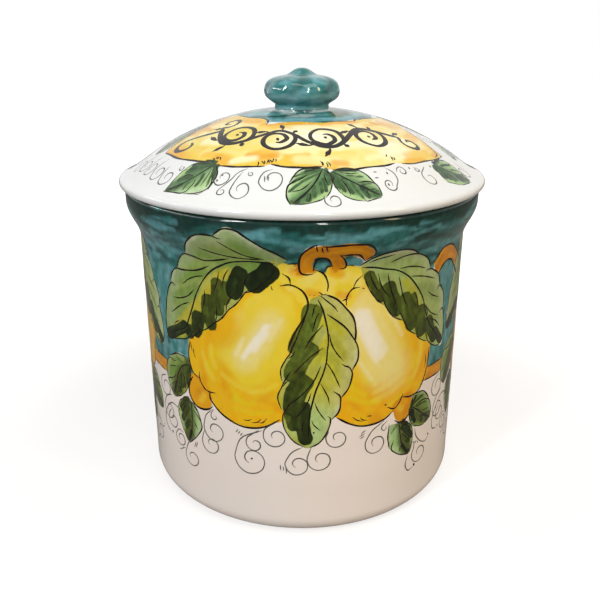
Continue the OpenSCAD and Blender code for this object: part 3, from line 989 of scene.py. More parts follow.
def teal_ground(p, c, around):
    """The wall's teal: short strokes, level towards the rim, painted shade in a dark band under the lid's
    lip, and a mottled collar.
    """
    ground = p.wash("ground", None)
    sea = blend(c.teal_pale, c.pool_blue, 0.5)
    for _ in range(1900):
        u, z = p.between(-around / 2, around / 2), RIM_Z + 6 - 96 * p.random.random() ** 0.8
        high = smooth((z - 140) / 16)
        level = p.random.random() < 0.08 + 0.9 * high
        turn = p.random.choice((-24, 24)) + p.random.normal(0, 8) if level else p.random.normal(86, 16)
        half = toward(turn) * p.between(4, 9) * (1.4 if level else 1)
        mix = p.random.random()
        # More deep teal towards the rim: partly the heavier wash there, partly painted shade under the lid's
        # lip.
        other = c.teal_dark if mix < 0.2 + 0.45 * high else sea if mix < 0.72 else c.teal
        tone = blend(c.teal, other, p.between(0.35, 0.9 - 0.2 * high))
        ground.stroke([(u, z) - half, (u, z) + half], p.between(2.4, 5.4), tone, 0.6, 0.8)
    # Painted shade: heavy deep teal strokes in a band just under the rim, where the lid's lip shades the
    # collar.
    for _ in range(420):
        u, z = p.between(-around / 2, around / 2), RIM_Z - 3.5 + p.between(-3.5, 5)
        ground.stroke([(u - 7, z), (u + 7, z + p.between(-1, 1))], 3.5, c.teal_dark, 0.85, 0.9)
    for i in range(520):
        u, z = p.between(-around / 2, around / 2), p.between(142, 166)
        reach, rise = p.between(5, 14), p.between(-2.5, 2.5)
        tone = (c.teal_dark, blend(c.teal, c.pool_blue, 0.6), blend(c.teal, c.teal_dark, 0.5))[i % 3]
        ground.stroke(
            [(u - reach, z - rise), (u, z + 0.8), (u + reach, z + rise)], p.between(1.6, 3.8), tone, 0.62, 1.0
        )


def wall_painting(c, radius):
    """The wall: a brushed teal ground over a thin ochre ring, and the lemons that hang across both."""
    p = Painting(WALL_SEED)
    around = 2 * np.pi * radius
    teal_ground(p, c, around)
    aside = around * 0.3
    lemon_group(p, c, aside, twig_to_left=True)
    lemon_group(p, c, -aside, -0.5)
    back_sprig(p, c, around / 2)
    lemon_group(p, c, 0)
    p.stand()
    u = np.arange(-around / 2, around / 2, 1.2)
    for level in (RING_LOW, RING_HIGH):
        p.line_behind(np.column_stack([u, level + ring_wave(u)]), 0.8, around)
    return p


def paint_wall(canvas, painting, c, teal_top):
    """Lays the wall's painting, with the ring under the fruit and the teal ground kept off each motif.

    teal_top is how far each place lies below the ground's upper edge."""
    u, z = canvas.places.T
    canvas.colours["ground"][:] = c.teal
    canvas.lay(painting)
    motif = np.maximum.reduce([canvas.areas[f] for f in FIELDS[1:]])
    wave = ring_wave(u) * np.sign(z - RING_MIDDLE)
    ring = np.where(canvas.painted, np.minimum(z - RING_LOW, RING_HIGH - z) + wave, UNPAINTED)
    streak = 0.2 + 0.2 * np.sin(u / 5.1 + 2 * np.sin(u / 17) + z)
    bare = canvas.areas["fruit"] < -OVERLAP
    canvas.colours["fruit"][bare] = blend(c.ochre, c.lemon_deep, streak[bare, None])
    canvas.areas["fruit"] = np.maximum(canvas.areas["fruit"], ring)
    sliver = -0.9 + 1.5 * np.sin(u / 6.1 + z / 9.7) * np.sin(z / 5.3 - u / 13)
    ground = np.minimum(z - RING_HIGH - ring_wave(u) + 0.6, teal_top)
    ground = np.where(motif > -6, np.minimum(ground, -motif - sliver), ground)
    canvas.areas["ground"] = np.where(canvas.painted, ground, UNPAINTED)


# ---------------------------------------------------------------- the lid's painting


def plan(degrees, rho):
    """A place on the lid's plan: degrees round from the front, rho out from the axis."""
    a = math.radians(degrees)
    return np.array([rho * math.sin(a), -rho * math.cos(a)])


PANEL_FRONT = (  # the loose arcs along the panel's front, from left to right, and their widths
    (((-70, -30), (-67, -36), (-62, -45), (-57, -51), (-50, -57), (-44, -61)), 1.1),
    (((-38.5, -66.5), (-30, -70.5), (-20, -73), (-17, -73)), 1.1),
    (((-14, -72.5), (-8, -75), (2, -75.5), (9, -75)), 1.2),
    (((14, -76), (22, -74.5), (30, -71), (38, -66.5), (43.5, -62.3)), 1.0),
    (((47, -60.5), (53, -57), (60, -50), (66, -43), (70, -36)), 0.8),
)


def panel_outline():
    """The edge of the yellow panel: along its front from left to right, then back behind it."""
    back = (
        (71, -33), (66, -27), (62, -22), (58, -18), (54, -13), (52, -4), (48, 2), (43, 0), (38, -11),
        (32, -19), (27, -26), (20, -31), (10, -36.5), (0, -36.2), (-8, -36), (-17, -36.5), (-18, -30),
        (-21, -26), (-27, -21), (-30.5, -15), (-34, -8), (-38, -4), (-45, -8), (-50, -14), (-56, -17),
        (-62, -20), (-67, -25)
    )
    return spline([*(at for points, _ in PANEL_FRONT for at in points), *back], 1.5, closed=True)


def panel_yellow(p, c, outline):
    """The panel's yellow in short strokes: nearly bare in the middle, amber towards its rim and ends."""
    wash = p.wash("fruit", outline)
    wash.stroke(outline, 400, c.lemon_pale, 1, 0.1)
    for i in range(520):
        d, r, span = p.between(-90, 90), p.between(33, 78), p.between(2, 7)
        x, y = plan(d, r)
        rim = inside_distance(np.array([[x, y]]), outline)[0]
        calm = smooth((x - 5) / 30) * smooth((-y - 35) / 15)
        amber = p.random.random() < smooth((10 - rim) / 9) * (1 - 0.75 * calm)
        bare = math.hypot((x - 16) / 34, (y + 51) / 12) < p.between(0.7, 1.2)
        plain = blend(c.lemon, c.lemon_bare, 0.15 + 0.45 * smooth((x + 45) / 50))
        tone = blend(plain, (c.lemon_bare, c.lemon_sharp, c.lemon)[i % 3], p.between(0.1, 0.7))
        if amber:
            tone = blend(c.lemon, c.lemon_deep, p.between(0.2, 1))
        if amber and p.random.random() < 0.15:
            tone = blend(c.lemon_deep, c.ochre, p.between(0.2, 0.6))
        if bare:
            tone = blend(c.lemon_bare, (c.white, c.lemon_sharp)[i % 2], p.between(0, 0.5))
        path = [plan(d - span, r), plan(d, r + p.between(-1.5, 1.5)), plan(d + span, r)]
        wash.stroke(path, p.between(2.5, 7), tone, 0.6, 0.9)
    for start, end, width, share in (
        ((-65, -33), (-60, -45), 6, 0.3), ((-39, -60), (-35, -65), 6, 0.25),
        ((-15, -38), (5, -38.5), 3.5, 0.4), ((14, -36), (26, -30), 4, 0.35), ((51, -3), (46, -20), 9, 0.25),
        ((58, -21), (55, -31), 7, 0.1), ((69, -31), (66, -40), 3.5, 0.45), ((15, -71.5), (20, -71), 4, 0.5),
        ((-57, -20), (-44, -14), 6, 0.3), ((-31, -25), (-22, -31), 5, 0.1), ((60, -49), (50, -57), 3, 0.2),
    ):
        wash.stroke([start, end], width, blend(c.lemon_deep, c.ochre, share), 0.65, 1.2)
    for start, end, width in (
        ((-32, -66), (-22, -67), 4), ((44, -36), (53, -38), 6), ((48, -46), (40, -55), 5),
        ((-47, -40), (-40, -46), 6)
    ):
        wash.stroke([start, end], width, c.lemon_bare, 0.7, 1.2)


def panel_ink(p):
    """The panel's outline in loose arcs, with a tuft of flicks where two of its front arcs meet."""
    for points, width in (
        *PANEL_FRONT, (((70, -36), (71, -32.5), (66.5, -28.5), (62, -22), (58, -18), (54.5, -13)), 0.8),
        (((66, -30), (68.5, -34.5), (67, -39)), 0.8), (((26.4, -28.6), (27, -26), (27.6, -23.4)), 1.3),
        (((-34, -8), (-30.5, -15), (-27, -21), (-20.5, -26), (-17.6, -30), (-16.8, -34), (-17.6, -37)), 1.0),
        (((10, -36.8), (15, -33.6), (20, -31.2), (26, -28.4)), 0.7),
        (((28.5, -24.5), (32, -19), (36, -14), (40, -7), (42, -1)), 0.8),
        (((-70, -30), (-65.5, -23.5), (-61, -20.5), (-56, -17)), 0.8),
    ):
        p.line(points, width)
    for x, y in ((-40.5, -61), (-17.5, -70.5), (-14, -70.5), (10, -72.5), (42.2, -59)):
        for i in range(4):
            start = np.array([x - 1.8 + 1.2 * i, y + 1.2]) + p.between(-0.5, 0.5, 2)
            p.line(bowed(start, start + (p.between(-0.6, 1.6), p.between(-3.2, -1.6)), bow=0.12), 0.7, 0.05)


def vine_leaf(p, foot, tip, bow):
    """A short leaf in two strokes, thin at its foot and full in its middle."""
    p.line(bowed(foot, tip, bow=bow), 1.3, 0)
    p.line(bowed(foot, tip, 0.35, 0.9, bow * 0.6), 2.7, 0)


def running_vine(p):
    """A running vine in thick and thin dark strokes: a waving stem with a volute in each of its bends."""
    bend, middle, sway, last = 24, 54.5, 7.2, 54

    def stem(d, off=0.0):
        return plan(d, middle + sway * math.sin(math.pi * d / bend) + off)

    p.line([stem(d) for d in np.arange(-last, last + 1, 3)], 2.5, 0.1)
    for i, crest in enumerate(range(-36, 37, bend)):
        out = 1 if i % 2 == 0 else -1
        centre = plan(crest, middle - out * 0.8)
        curl(p, [stem(crest + 4), stem(crest + 8)], centre, 8.2, 1.35, out, 2.2, draw=p.line)
        p.line([centre - (0.7, 0.2), centre + (0.8, 0.2)], 2.8, 0)
        for lean, reach in ((-6, 6.5), (0, 7.5), (6, 5.5)):
            vine_leaf(p, stem(crest + lean), stem(crest + lean * 2 - 3, out * reach), 0.16 * out)
    tail = (
        (-49, 51), (-55, 56), (-61, 61), (-64.5, 66), (-63.5, 71), (-59, 73), (-55.5, 70.5), (-55.5, 67),
        (-58, 65.5)
    )
    p.line([plan(*at) for at in tail], 2.2)
    for end in (-1, 1):
        curl(
            p, [stem(end * (last - 3)), stem(end * last)], stem(end * (last + 2), end * 4.6), 4.4, 1.1, 1,
            2.0, draw=p.line
        )
        vine_leaf(p, stem(end * (last - 2)), stem(end * (last + 5), -end * 5), 0.15 * end)


def lid_leaves(p, c):
    """The leaves that lie on the brim at the front, in cooler greens than the wall's."""
    cooler = SimpleNamespace(**vars(c))
    cooler.leaf_dark, cooler.leaf_deep = blend(c.leaf_dark, c.lid_green, 0.22), c.lid_green
    cooler.leaf_olive = cooler.leaf_gap = c.lid_leaf
    cooler.leaf_pale = blend(c.lid_leaf, c.white, 0.35)
    for rib, light, dark, bulges, under, dabs, ink in (
        (((-40, -64.5), (-47, -67.5), (-55, -69.2), (-64.5, -68.6)),
         ((-40, -65.5), (-42.5, -78.8), (-54, -76), (-64.5, -68.8)),
         ((-40, -63.5), (-48, -58.5), (-56, -60), (-64.5, -68.3)), (0.2, 0.1, 0.03), (0.06, 0.1, 0.03),
         (9, 6, 2.6, 0.7), 0.7),
        (((9.5, -76), (6.5, -83), (2, -89), (-4.5, -95)), ((8, -75.3), (-5.5, -84), (-5, -95)),
         ((11, -76), (13.6, -83), (9.5, -91.5), (-4, -95)), (0.2, 0.14), (0.12, 0.1, 0.08),
         (9, 7, 2.0, 0.45), 0.75),
        (((13.5, -77), (20, -80), (27, -82.5), (35.6, -85)), ((14.5, -76), (33, -79), (35.8, -84.8)),
         ((13, -78), (18, -88.5), (28, -89.8), (35.5, -85.6)), (0.2, 0.05), (0.12, 0.1, 0.03),
         (9, 6, 2.0, 0.45), 0.7),
        (((64.5, -49), (71, -47), (78, -45), (84.5, -42.5)), ((65, -48), (71, -38), (80, -38), (84.5, -42)),
         ((65, -50), (70, -57.3), (79, -52.5), (84.5, -43)), (0.15, 0.1, 0.06), (0.12, 0.06, 0.04),
         (9, 4, 2.8, 0.8), 0.7),
        (((71, -8), (75, -13), (78.5, -17.5), (80.5, -23.5)),
         ((71, -8), (70.5, -15), (74.5, -21), (80, -23.5)), ((72, -7.5), (79, -11), (82, -17), (81, -23.5)),
         (0.1, 0.08, 0.05), (0.1, 0.08, 0.05), (5, 0, 2.6, 0.5), 0.6),
    ):
        leaf(p, cooler, rib, light, dark, bulges, under, dabs, fresh=c.lid_leaf, ink=ink)


def lid_scrolls(p):
    """The thin scrolls along the brim."""
    for tail, centre, radius, hand in (
        (((-66, -42), (-72, -44), (-74.5, -49)), (-70.2, -50), 3.6, 1),
        (((-70, -35), (-76, -36), (-79.5, -40)), (-75.5, -40.5), 3.8, 1),
        (((-74, -27), (-80, -27), (-83.5, -31)), (-79.5, -32), 3.6, 1),
        (((-80, -16), (-86, -19), (-88, -24.5)), (-84, -24.5), 3.8, 1),
        (((-64, -50.5), (-67, -53), (-68.8, -57)), (-64.6, -58.6), 3.6, 1),
        (((-57.5, -55.3), (-58.4, -57)), (-57.1, -57.8), 1.2, 1),
        (((-38.5, -68), (-39.6, -73)), (-35.8, -74.8), 4, 1),
        (((-24.5, -73), (-29, -74.5), (-32, -77.5), (-36.5, -80.5)), (-36, -82.4), 2, 1),
        (((-26.5, -74.5), (-30, -79), (-32, -83)), (-27.2, -83.8), 4.6, 1),
        (((-24, -75), (-24.2, -76.6)), (-23, -76.6), 1.1, 1),
        (((-13, -75.8), (-17, -77), (-19.3, -81)), (-13.2, -81.2), 5.4, 1),
        (((38, -67.8), (42, -69.5), (44, -73), (43.2, -76.5)), (40, -77), 2.9, -1),
        (((43.8, -68.5), (44.2, -65.8)), (46.6, -66.2), 2.3, -1),
        (((53, -59.3), (53.2, -60.8)), (54.5, -60.4), 1.3, 1),
        (((58.5, -55.5), (57.6, -59)), (61, -62), 3.6, 1), (((10, -89.5), (10, -92)), (14, -91.8), 3.6, 1),
        (((65, -8), (62, -12)), (65.8, -14.6), 3.4, 1), (((57, -1), (56, -6)), (59.4, -7.6), 3.2, 1),
        (((78, -30), (84, -31)), (82.5, -35), 3.2, -1), (((80, 2), (86.5, -2)), (83, -6.5), 4.2, -1),
    ):
        curl(p, tail, centre, radius, 1.1, hand, 0.58)
    for x, y in ((-38.5, -75.6), (-36.2, -73.4), (39.2, -71), (39.4, -77.4), (50.6, -62), (62.2, -52.6)):
        p.scroll([(x - 0.3, y + 0.6), (x + 0.2, y - 0.6)], 1.1)
    p.scroll([(-49, -79), (-47, -79.9), (-44.5, -79.3)], 0.5)
    ticks(p, -16.8, -79, 2, (1.6, 0.2), (0.3, -3.4))
    ticks(p, 32.5, -73, 2, (0.4, -3.2), (1.8, 0.6))


def lid_back(p, c):
    """The rest of the lid: three small lemons, each with two leaves, a leaf and a twig at the panel's
    left end, and curls between them."""
    small = 0.42
    for turn in (118, -112, -177):
        p.stand(turn=turn + 4, scale=small)
        hung = p.spot((-5, -100))
        p.stand(shift=plan(turn, 62) + hung, turn=turn + 4, scale=small)
        left_lemon(p, c)
        hanging_leaf(p, c)
        left_leaf(p, c)
    p.stand()
    leaf(
        p, c, ((-50, -6), (-60, -11), (-69, -16), (-77, -22)),
        ((-50, -7), (-61, -20), (-71, -25), (-77, -22.5)), ((-50, -5), (-63, -1), (-73, -10), (-77, -21.5)),
        (0.1, 0.1, 0.05), (0.1, 0.12, 0.05), (9, 3, 3.2, 0.6), fresh=c.leaf_soft, ink=0.7,
    )
    inked_twig(p, c, ((-40, -2), (-48, -9), (-57, -14), (-66, -22)), 4.5)
    for turn in (88, 150, 166, -143, -152):
        for side in (-1, 1):
            tail = [plan(turn, 74), plan(turn + side, 78), plan(turn + 2.5 * side, 82)]
            curl(p, tail, plan(turn + 5.5 * side, 81.5), 4.2, 1.25, side, 0.5)


def lid_pool(p, c):
    """The teal brushed round the knob, which runs out to the brim behind the yellow panel."""
    turn = np.linspace(-180, 180, 91)[:-1]
    edge = 38.5 + 1.4 * np.sin(np.radians(turn * 7)) + np.sin(np.radians(turn * 4 + 40))
    spread = smooth(np.where(turn < 0, -turn - 60, turn - 96) / 16)
    pool = np.array([plan(d, e + 29 * s) for d, e, s in zip(turn, edge, spread)])
    ground = p.wash("ground", pool)
    ground.stroke(pool, 300, c.teal, 1, 0.1)
    for _ in range(900):
        d, r = p.between(-180, 180), 12 + 58 * p.random.random()
        span = p.between(3, 9) / r * 40
        path = [plan(d - span, r), plan(d, r), plan(d + span, r)]
        mix = p.random.random()
        other = c.teal_dark if mix < 0.34 else c.teal_pale if mix < 0.8 else c.teal
        ground.stroke(path, p.between(2.5, 6), blend(c.teal, other, p.between(0.2, 1)), 0.55, 0.8)
    pale, bare = (blend(c.teal_pale, c.white, share) for share in (0.35, 0.6))
    for start, middle, end, width, tone in (
        ((-18, -30), (-10, -34), (4, -34.5), 6, c.pool_blue),
        ((-30, -12), (-24, -17), (-19, -19), 8, c.pool_blue),
        ((6, -33), (16, -29), (24, -24), 5, c.pool_blue),
        ((-26, -4), (-23, -8), (-21, -12), 7, blend(c.pool_blue, c.scroll, 0.35)),
        ((-10, -8), (-9, -14), (-8, -20), 6, pale), ((-5, -25), (0, -27), (4, -26), 5, pale),
        (plan(-60, 17.5), plan(-38, 18), plan(-14, 18.5), 5.5, bare),
        (plan(16, 18.5), plan(35, 18), plan(60, 17), 5.5, bare),
        (plan(-4, 16), plan(3, 18), plan(10, 17), 5.5, c.teal_dark),
        ((4, -33), (9, -31), (15, -30), 4, c.pool_blue), ((-29, -8), (-30, -3), (-28, 1), 5, c.teal_dark),
        ((-26, -19), (-19, -24), (-13, -26), 2.2, c.teal_dark),
        ((-13, -26), (-8, -26.5), (-2, -24), 1.8, c.teal_dark),
        ((17, -6), (19, -14), (18, -22), 7, blend(c.leaf_deep, c.leaf_dark, 0.4)),
        ((22, -6), (24, -10), (24, -14), 5, c.leaf_dark),
        ((28, -2), (29, -8), (27, -14), 5, blend(c.teal_pale, c.leaf, 0.45)),
        ((30, -10), (28, -17), (24, -22), 3.5, c.pool_blue), ((-58, -16), (-57, -8), (-55, 0), 9, pale),
        ((-66, -20), (-68, -10), (-68, 0), 6, c.leaf_olive),
    ):
        ground.stroke([start, middle, end], width, tone, 0.75, 1.0)
    for part in np.array_split(pool[spread > 0.6], 7):
        p.line(part, 0.9)
    p.line([(-63, -19), (-66, -10), (-65, -2)], 0.9)


def lid_painting(c):
    """The lid: teal round the knob, a yellow panel at the front, and leaves and scrolls on the brim."""
    p = Painting(LID_SEED)
    lid_pool(p, c)
    lid_back(p, c)
    panel_yellow(p, c, panel_outline())
    panel_ink(p)
    running_vine(p)
    lid_leaves(p, c)
    lid_scrolls(p)
    return p


# ---------------------------------------------------------------- skins


def about_axis(theta, r, z):
    """Points by their angle from the front, their distance from the axis and their height."""
    return np.column_stack(np.broadcast_arrays(r * np.sin(theta), -r * np.cos(theta), z))


def revolve(profile, sides, strays=None, coarse=()):
    """Vertices, faces, angles and rows of a closed skin turned from a half section, axis to axis.

    Rows named in coarse have fewer vertices, and a fan of them in each face that meets a full row."""
    profile = np.asarray(profile, float)
    rings, points, angles, rows, faces = [], [], [], [], []
    for row, (r, z) in enumerate(profile[1:-1], 1):
        count = sides // COARSER if row in coarse else sides
        theta = 2 * np.pi * np.arange(count) / count
        radius = r + (strays(theta, z, r) if strays else 0)
        rings.append(len(angles) + np.arange(count))
        points.append(about_axis(theta, radius, z))
        angles.extend(theta)
        rows.extend([row] * count)
    for a, b in zip(rings[:-1], rings[1:]):
        if len(a) == len(b):
            faces.extend(np.column_stack([a, np.roll(a, -1), np.roll(b, -1), b]).tolist())
        elif len(a) > len(b):
            for i, (p, q) in enumerate(zip(b, np.roll(b, -1))):
                fan = np.take(a, range(COARSER * i, COARSER * (i + 1) + 1), mode="wrap")
                faces.append([*fan.tolist(), int(q), int(p)])
        else:
            for i, (p, q) in enumerate(zip(a, np.roll(a, -1))):
                fan = np.take(b, range(COARSER * (i + 1), COARSER * i - 1, -1), mode="wrap")
                faces.append([int(p), int(q), *fan.tolist()])
    first, last = len(angles), len(angles) + 1
    points.append([[0, 0, profile[0, 1]], [0, 0, profile[-1, 1]]])
    faces.extend(np.column_stack([np.roll(rings[0], -1), rings[0], np.full(len(rings[0]), first)]).tolist())
    faces.extend(np.column_stack([rings[-1], np.roll(rings[-1], -1), np.full(len(rings[-1]), last)]).tolist())
    angles = (np.r_[angles, 0, 0] + np.pi) % (2 * np.pi) - np.pi
    return np.vstack(points), faces, angles, np.r_[rows, 0, len(profile) - 1]


def build_mesh(name, points, faces, material):
    """A smooth mesh object from points in millimetres."""
    mesh = bpy.data.meshes.new(name)
    mesh.from_pydata((np.asarray(points) * MM).tolist(), [], faces)
    mesh.polygons.foreach_set("use_smooth", [True] * len(mesh.polygons))
    mesh.materials.append(material)
    mesh.update()
    piece = bpy.data.objects.new(name, mesh)
    bpy.context.scene.collection.objects.link(piece)
    return piece


def store(piece, name, values):
    """Keeps a number or three numbers for each vertex, for the shader to read."""
    values = np.asarray(values, np.float32)
    kind, key = ("FLOAT", "value") if values.ndim == 1 else ("FLOAT_VECTOR", "vector")
    piece.data.attributes.new(name, kind, "POINT").data.foreach_set(key, values.ravel())


def store_canvas(piece, canvas, bare):
    """Keeps a canvas's areas and colours on its skin."""
    areas = [canvas.areas[f] for f in FIELDS]
    store(piece, "areas", np.column_stack(areas[:3]))
    store(piece, "dab_areas", np.column_stack([*areas[3:], bare]))
    for field in FIELDS:
        store(piece, field + "_paint", canvas.colours[field])


def dress(piece, body, slot, stands_for=None):
    """Rides a piece on a body; a skin also stands for its node."""
    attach(piece, body)
    if stands_for:
        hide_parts(stands_for)


def stray(sizes):
    """How far the thrower's hand left the wall from true, by angle and height."""

    def strays(theta, z, r):
        slow = 0.5 * np.sin(2 * theta + 0.6) + 0.3 * np.sin(3 * theta - 1.1 + z / 60)
        rings = 0.2 * np.sin(z / 4.5 + 0.8 * np.sin(theta))
        return sizes.unevenness * (slow + rings) * np.clip(r / 60, 0, 1)

    return strays


def outer_radius(z, sizes):
    """The wall's outer radius at a height, through the ogee."""
    wall_r = RIM_R - sizes.flare
    rise = np.clip((z - (RIM_Z - sizes.band - sizes.ogee)) / sizes.ogee, 0, 1)
    return wall_r + sizes.flare * (1 - np.cos(np.pi * rise)) / 2


def jar_profile(sizes):
    """Half section of the jar, from under the foot round to the inner floor."""
    wall_r, s = RIM_R - sizes.flare, sizes
    foot_r = wall_r - s.heel
    low = np.arange(s.heel + PLAIN_STEP, PAINT_LOW - 1, PLAIN_STEP)
    z = np.r_[low, PAINT_LOW : RIM_Z - s.rim_round - WALL_STEP / 2 : WALL_STEP]
    inner = np.linspace(RIM_Z - s.mouth_round - 1, s.floor + s.corner + 1, 34)
    parts = [
        [[0, s.hollow], [30, s.hollow], [foot_r - s.foot - s.hollow, s.hollow], [foot_r - s.foot - 0.3, 0.2]],
        [[foot_r - s.foot + 0.4, 0], [foot_r - s.foot / 2, 0]],
        arc(foot_r, s.heel, s.heel, -90, 0, 10),
        np.column_stack([outer_radius(z, s), z]),
        arc(RIM_R - s.rim_round, RIM_Z - s.rim_round, s.rim_round, 0, 90, 5),
        arc(RIM_R - s.wall + s.mouth_round, RIM_Z - s.mouth_round, s.mouth_round, 90, 180, 4),
        np.column_stack([outer_radius(inner, s) - s.wall, inner]),
        arc(wall_r - s.wall - s.corner, s.floor + s.corner, s.corner, 0, -90, 6),
        [[50, s.floor], [20, s.floor], [0, s.floor]],
    ]
    return np.vstack(parts)


def lid_sections(sizes):
    """Half section of the lid from the crown out and back under, and the count of its outer points."""
    s = sizes
    centre_z = RIM_Z + s.dome_rise - s.dome_radius
    brim_r = LIP_R - s.brim

    def dome(radius, rho):
        return centre_z + np.sqrt(radius**2 - np.asarray(rho, float) ** 2)

    rho = np.arange(2, brim_r, LID_STEP)
    fall = math.degrees(math.asin(brim_r / s.dome_radius))
    start = np.array([brim_r, dome(s.dome_radius, brim_r)])
    lip = arc(LIP_R - s.lip_round, RIM_Z + s.lip_round, s.lip_round, 90 - BRIM_SLOPE, -90, 9)
    pull = s.brim * 0.36
    brim = bezier([start, start + pull * toward(-fall), lip[0] - pull * toward(-BRIM_SLOPE), lip[0]], 18)
    outer = np.vstack([np.column_stack([rho, dome(s.dome_radius, rho)]), brim, lip[1:]])
    ring_r = outer_radius(RING_Z, s) - s.wall - s.ring_gap
    ring_in = ring_r - s.ring_wall
    inner_r = s.dome_radius - s.dome_wall
    cove = ring_in - s.cove
    under = np.vstack([
        [[ring_r + 3, RIM_Z], [ring_r, RIM_Z - 0.4]],
        arc(ring_r - s.ring_wall / 2, RING_Z + s.ring_wall / 2, s.ring_wall / 2, 0, -180, 8),
        bezier([[ring_in, dome(inner_r, cove) - s.cove], [ring_in, dome(inner_r, cove) - s.cove / 2],
                [cove + s.cove / 2, dome(inner_r, cove + 2.5)], [cove, dome(inner_r, cove)]], 6),
        np.column_stack([np.linspace(cove - 4, 4, 18), dome(inner_r, np.linspace(cove - 4, 4, 18))]),
    ])
    profile = np.vstack([[[0, dome(s.dome_radius, 0)]], outer, under, [[0, dome(inner_r, 0)]]])
    return profile, len(outer)


def lay_ribbons(name, strokes, surface, material):
    """Brush lines as one mesh of thin closed ribbons on a surface.

    surface takes places and a height and gives points and outward directions."""
    points, faces, outs, tones = [], [], [], []
    random = np.random.default_rng(BRUSH_SEED)
    for path, width in strokes:
        n = len(path)
        if n < 2:
            continue
        s = along(path)
        ends = min(0.5, 3.5 / max(path_length(path), 0.1))
        press = 0.42 + 0.58 * smooth(np.minimum(s / ends, (1 - s) / ends))
        waver = 1 + 0.14 * np.sin(s * random.uniform(8, 20) + random.uniform(0, 6))
        half = (width / 2 * press * waver)[:, None]
        side = normals(path)
        rows = (
            (path + side * half, RIBBON_EDGE), (path, RIBBON_RISE), (path - side * half, RIBBON_EDGE),
            (path, -RIBBON_DEPTH),
        )
        first = len(points)
        block = [surface(places, lift) for places, lift in rows]
        points.extend(np.stack([b[0] for b in block], 1).reshape(-1, 3).tolist())
        outs.extend(np.stack([b[1] for b in block], 1).reshape(-1, 3).tolist())
        drained = 1 - random.uniform(0, 0.25) * s - 0.3 * (random.random() < 0.08)
        tones.extend(np.repeat(np.clip(press * drained * 1.15, 0, 1), 4).tolist())
        for i in range(n - 1):
            a, b = first + 4 * i, first + 4 * i + 4
            for q in range(4):
                w = (q + 1) % 4
                faces.append([a + q, a + w, b + w, b + q])
        faces.append([first + 3, first + 2, first + 1, first])
        end = first + 4 * (n - 1)
        faces.append([end, end + 1, end + 2, end + 3])
    piece = build_mesh(name, points, faces, material)
    piece.data.normals_split_custom_set_from_vertices(outs)
    store(piece, "load", tones)
    return piece


def raised(theta, r, z, out, lift):
    """Points at a height over a surface that faces out, and its unit outward directions."""
    out = out / np.linalg.norm(out, axis=1, keepdims=True)
    return about_axis(theta, r, z) + out * lift, out


def wall_surface(sizes, radius):
    """The wall as a surface for ribbons."""
    strays = stray(sizes)

    def surface(places, lift):
        theta, z = places[:, 0] / radius, places[:, 1]
        r = outer_radius(z, sizes)
        lean = (outer_radius(z + 0.5, sizes) - outer_radius(z - 0.5, sizes))[:, None]
        out = about_axis(theta, 1, 0) - lean * [0, 0, 1]
        return raised(theta, r + strays(theta, z, r), z, out, lift)

    return surface


def lid_surface(sizes, outer):
    """The lid's upper side as a surface for ribbons."""
    strays = stray(sizes)

    def surface(places, lift):
        rho = np.linalg.norm(places, axis=1)
        theta = np.arctan2(places[:, 0], -places[:, 1])
        z = np.interp(rho, *outer.T)
        fall = (np.interp(rho + 0.4, *outer.T) - np.interp(rho - 0.4, *outer.T)) / 0.8
        out = [0, 0, 1] - about_axis(theta, 1, 0) * fall[:, None]
        return raised(theta, rho + strays(theta, z, rho), z, out, lift)

    return surface


# ---------------------------------------------------------------- materials


def node(tree, kind, inputs=None, **settings):
    """A node with its settings and unlinked input values."""
    made = tree.nodes.new(kind)
    for key, value in settings.items():
        setattr(made, key, value)
    for key, value in (inputs or {}).items():
        if isinstance(value, bpy.types.NodeSocket):
            tree.links.new(value, made.inputs[key])
        else:
            made.inputs[key].default_value = value
    return made


def math_node(tree, operation, a, b=0.0):
    """One step of arithmetic on two values."""
    return node(tree, "ShaderNodeMath", {0: a, 1: b}, operation=operation).outputs[0]


def mix_colour(tree, share, a, b):
    """Colour b over colour a, by share."""
    return node(tree, "ShaderNodeMix", {0: share, 6: a, 7: b}, data_type="RGBA").outputs[2]


def ramp(tree, value, low, high, start=0.0, end=1.0, eased=False):
    """A value's range from low to high, stretched to start and end."""
    limits = {"Value": value, "From Min": low, "From Max": high, "To Min": start, "To Max": end}
    kind = "SMOOTHSTEP" if eased else "LINEAR"
    return node(tree, "ShaderNodeMapRange", limits, interpolation_type=kind).outputs["Result"]


def attribute(tree, name, output="Fac"):
    """What a skin keeps on its vertices under a name."""
    return node(tree, "ShaderNodeAttribute", attribute_name=name).outputs[output]


def noise(tree, scale, detail, stretch=(1, 1, 1)):
    """Noise by place on the object, in features to a metre."""
    at = node(tree, "ShaderNodeTexCoord").outputs["Object"]
    if stretch != (1, 1, 1):
        at = node(tree, "ShaderNodeVectorMath", {0: at, 1: stretch}, operation="MULTIPLY").outputs[0]
    return node(tree, "ShaderNodeTexNoise", {"Vector": at, "Scale": scale, "Detail": detail}).outputs["Fac"]


def group(name, sockets_in, sockets_out):
    """A shader node group with named sockets, or the one that exists, and whether it is new."""
    if name in bpy.data.node_groups:
        return bpy.data.node_groups[name], None, None, False
    tree = bpy.data.node_groups.new(name, "ShaderNodeTree")
    for socket, kind, default in sockets_in:
        made = tree.interface.new_socket(socket, in_out="INPUT", socket_type=kind)
        if default is not None:
            made.default_value = default
    for socket, kind in sockets_out:
        tree.interface.new_socket(socket, in_out="OUTPUT", socket_type=kind)
    return tree, tree.nodes.new("NodeGroupInput"), tree.nodes.new("NodeGroupOutput"), True


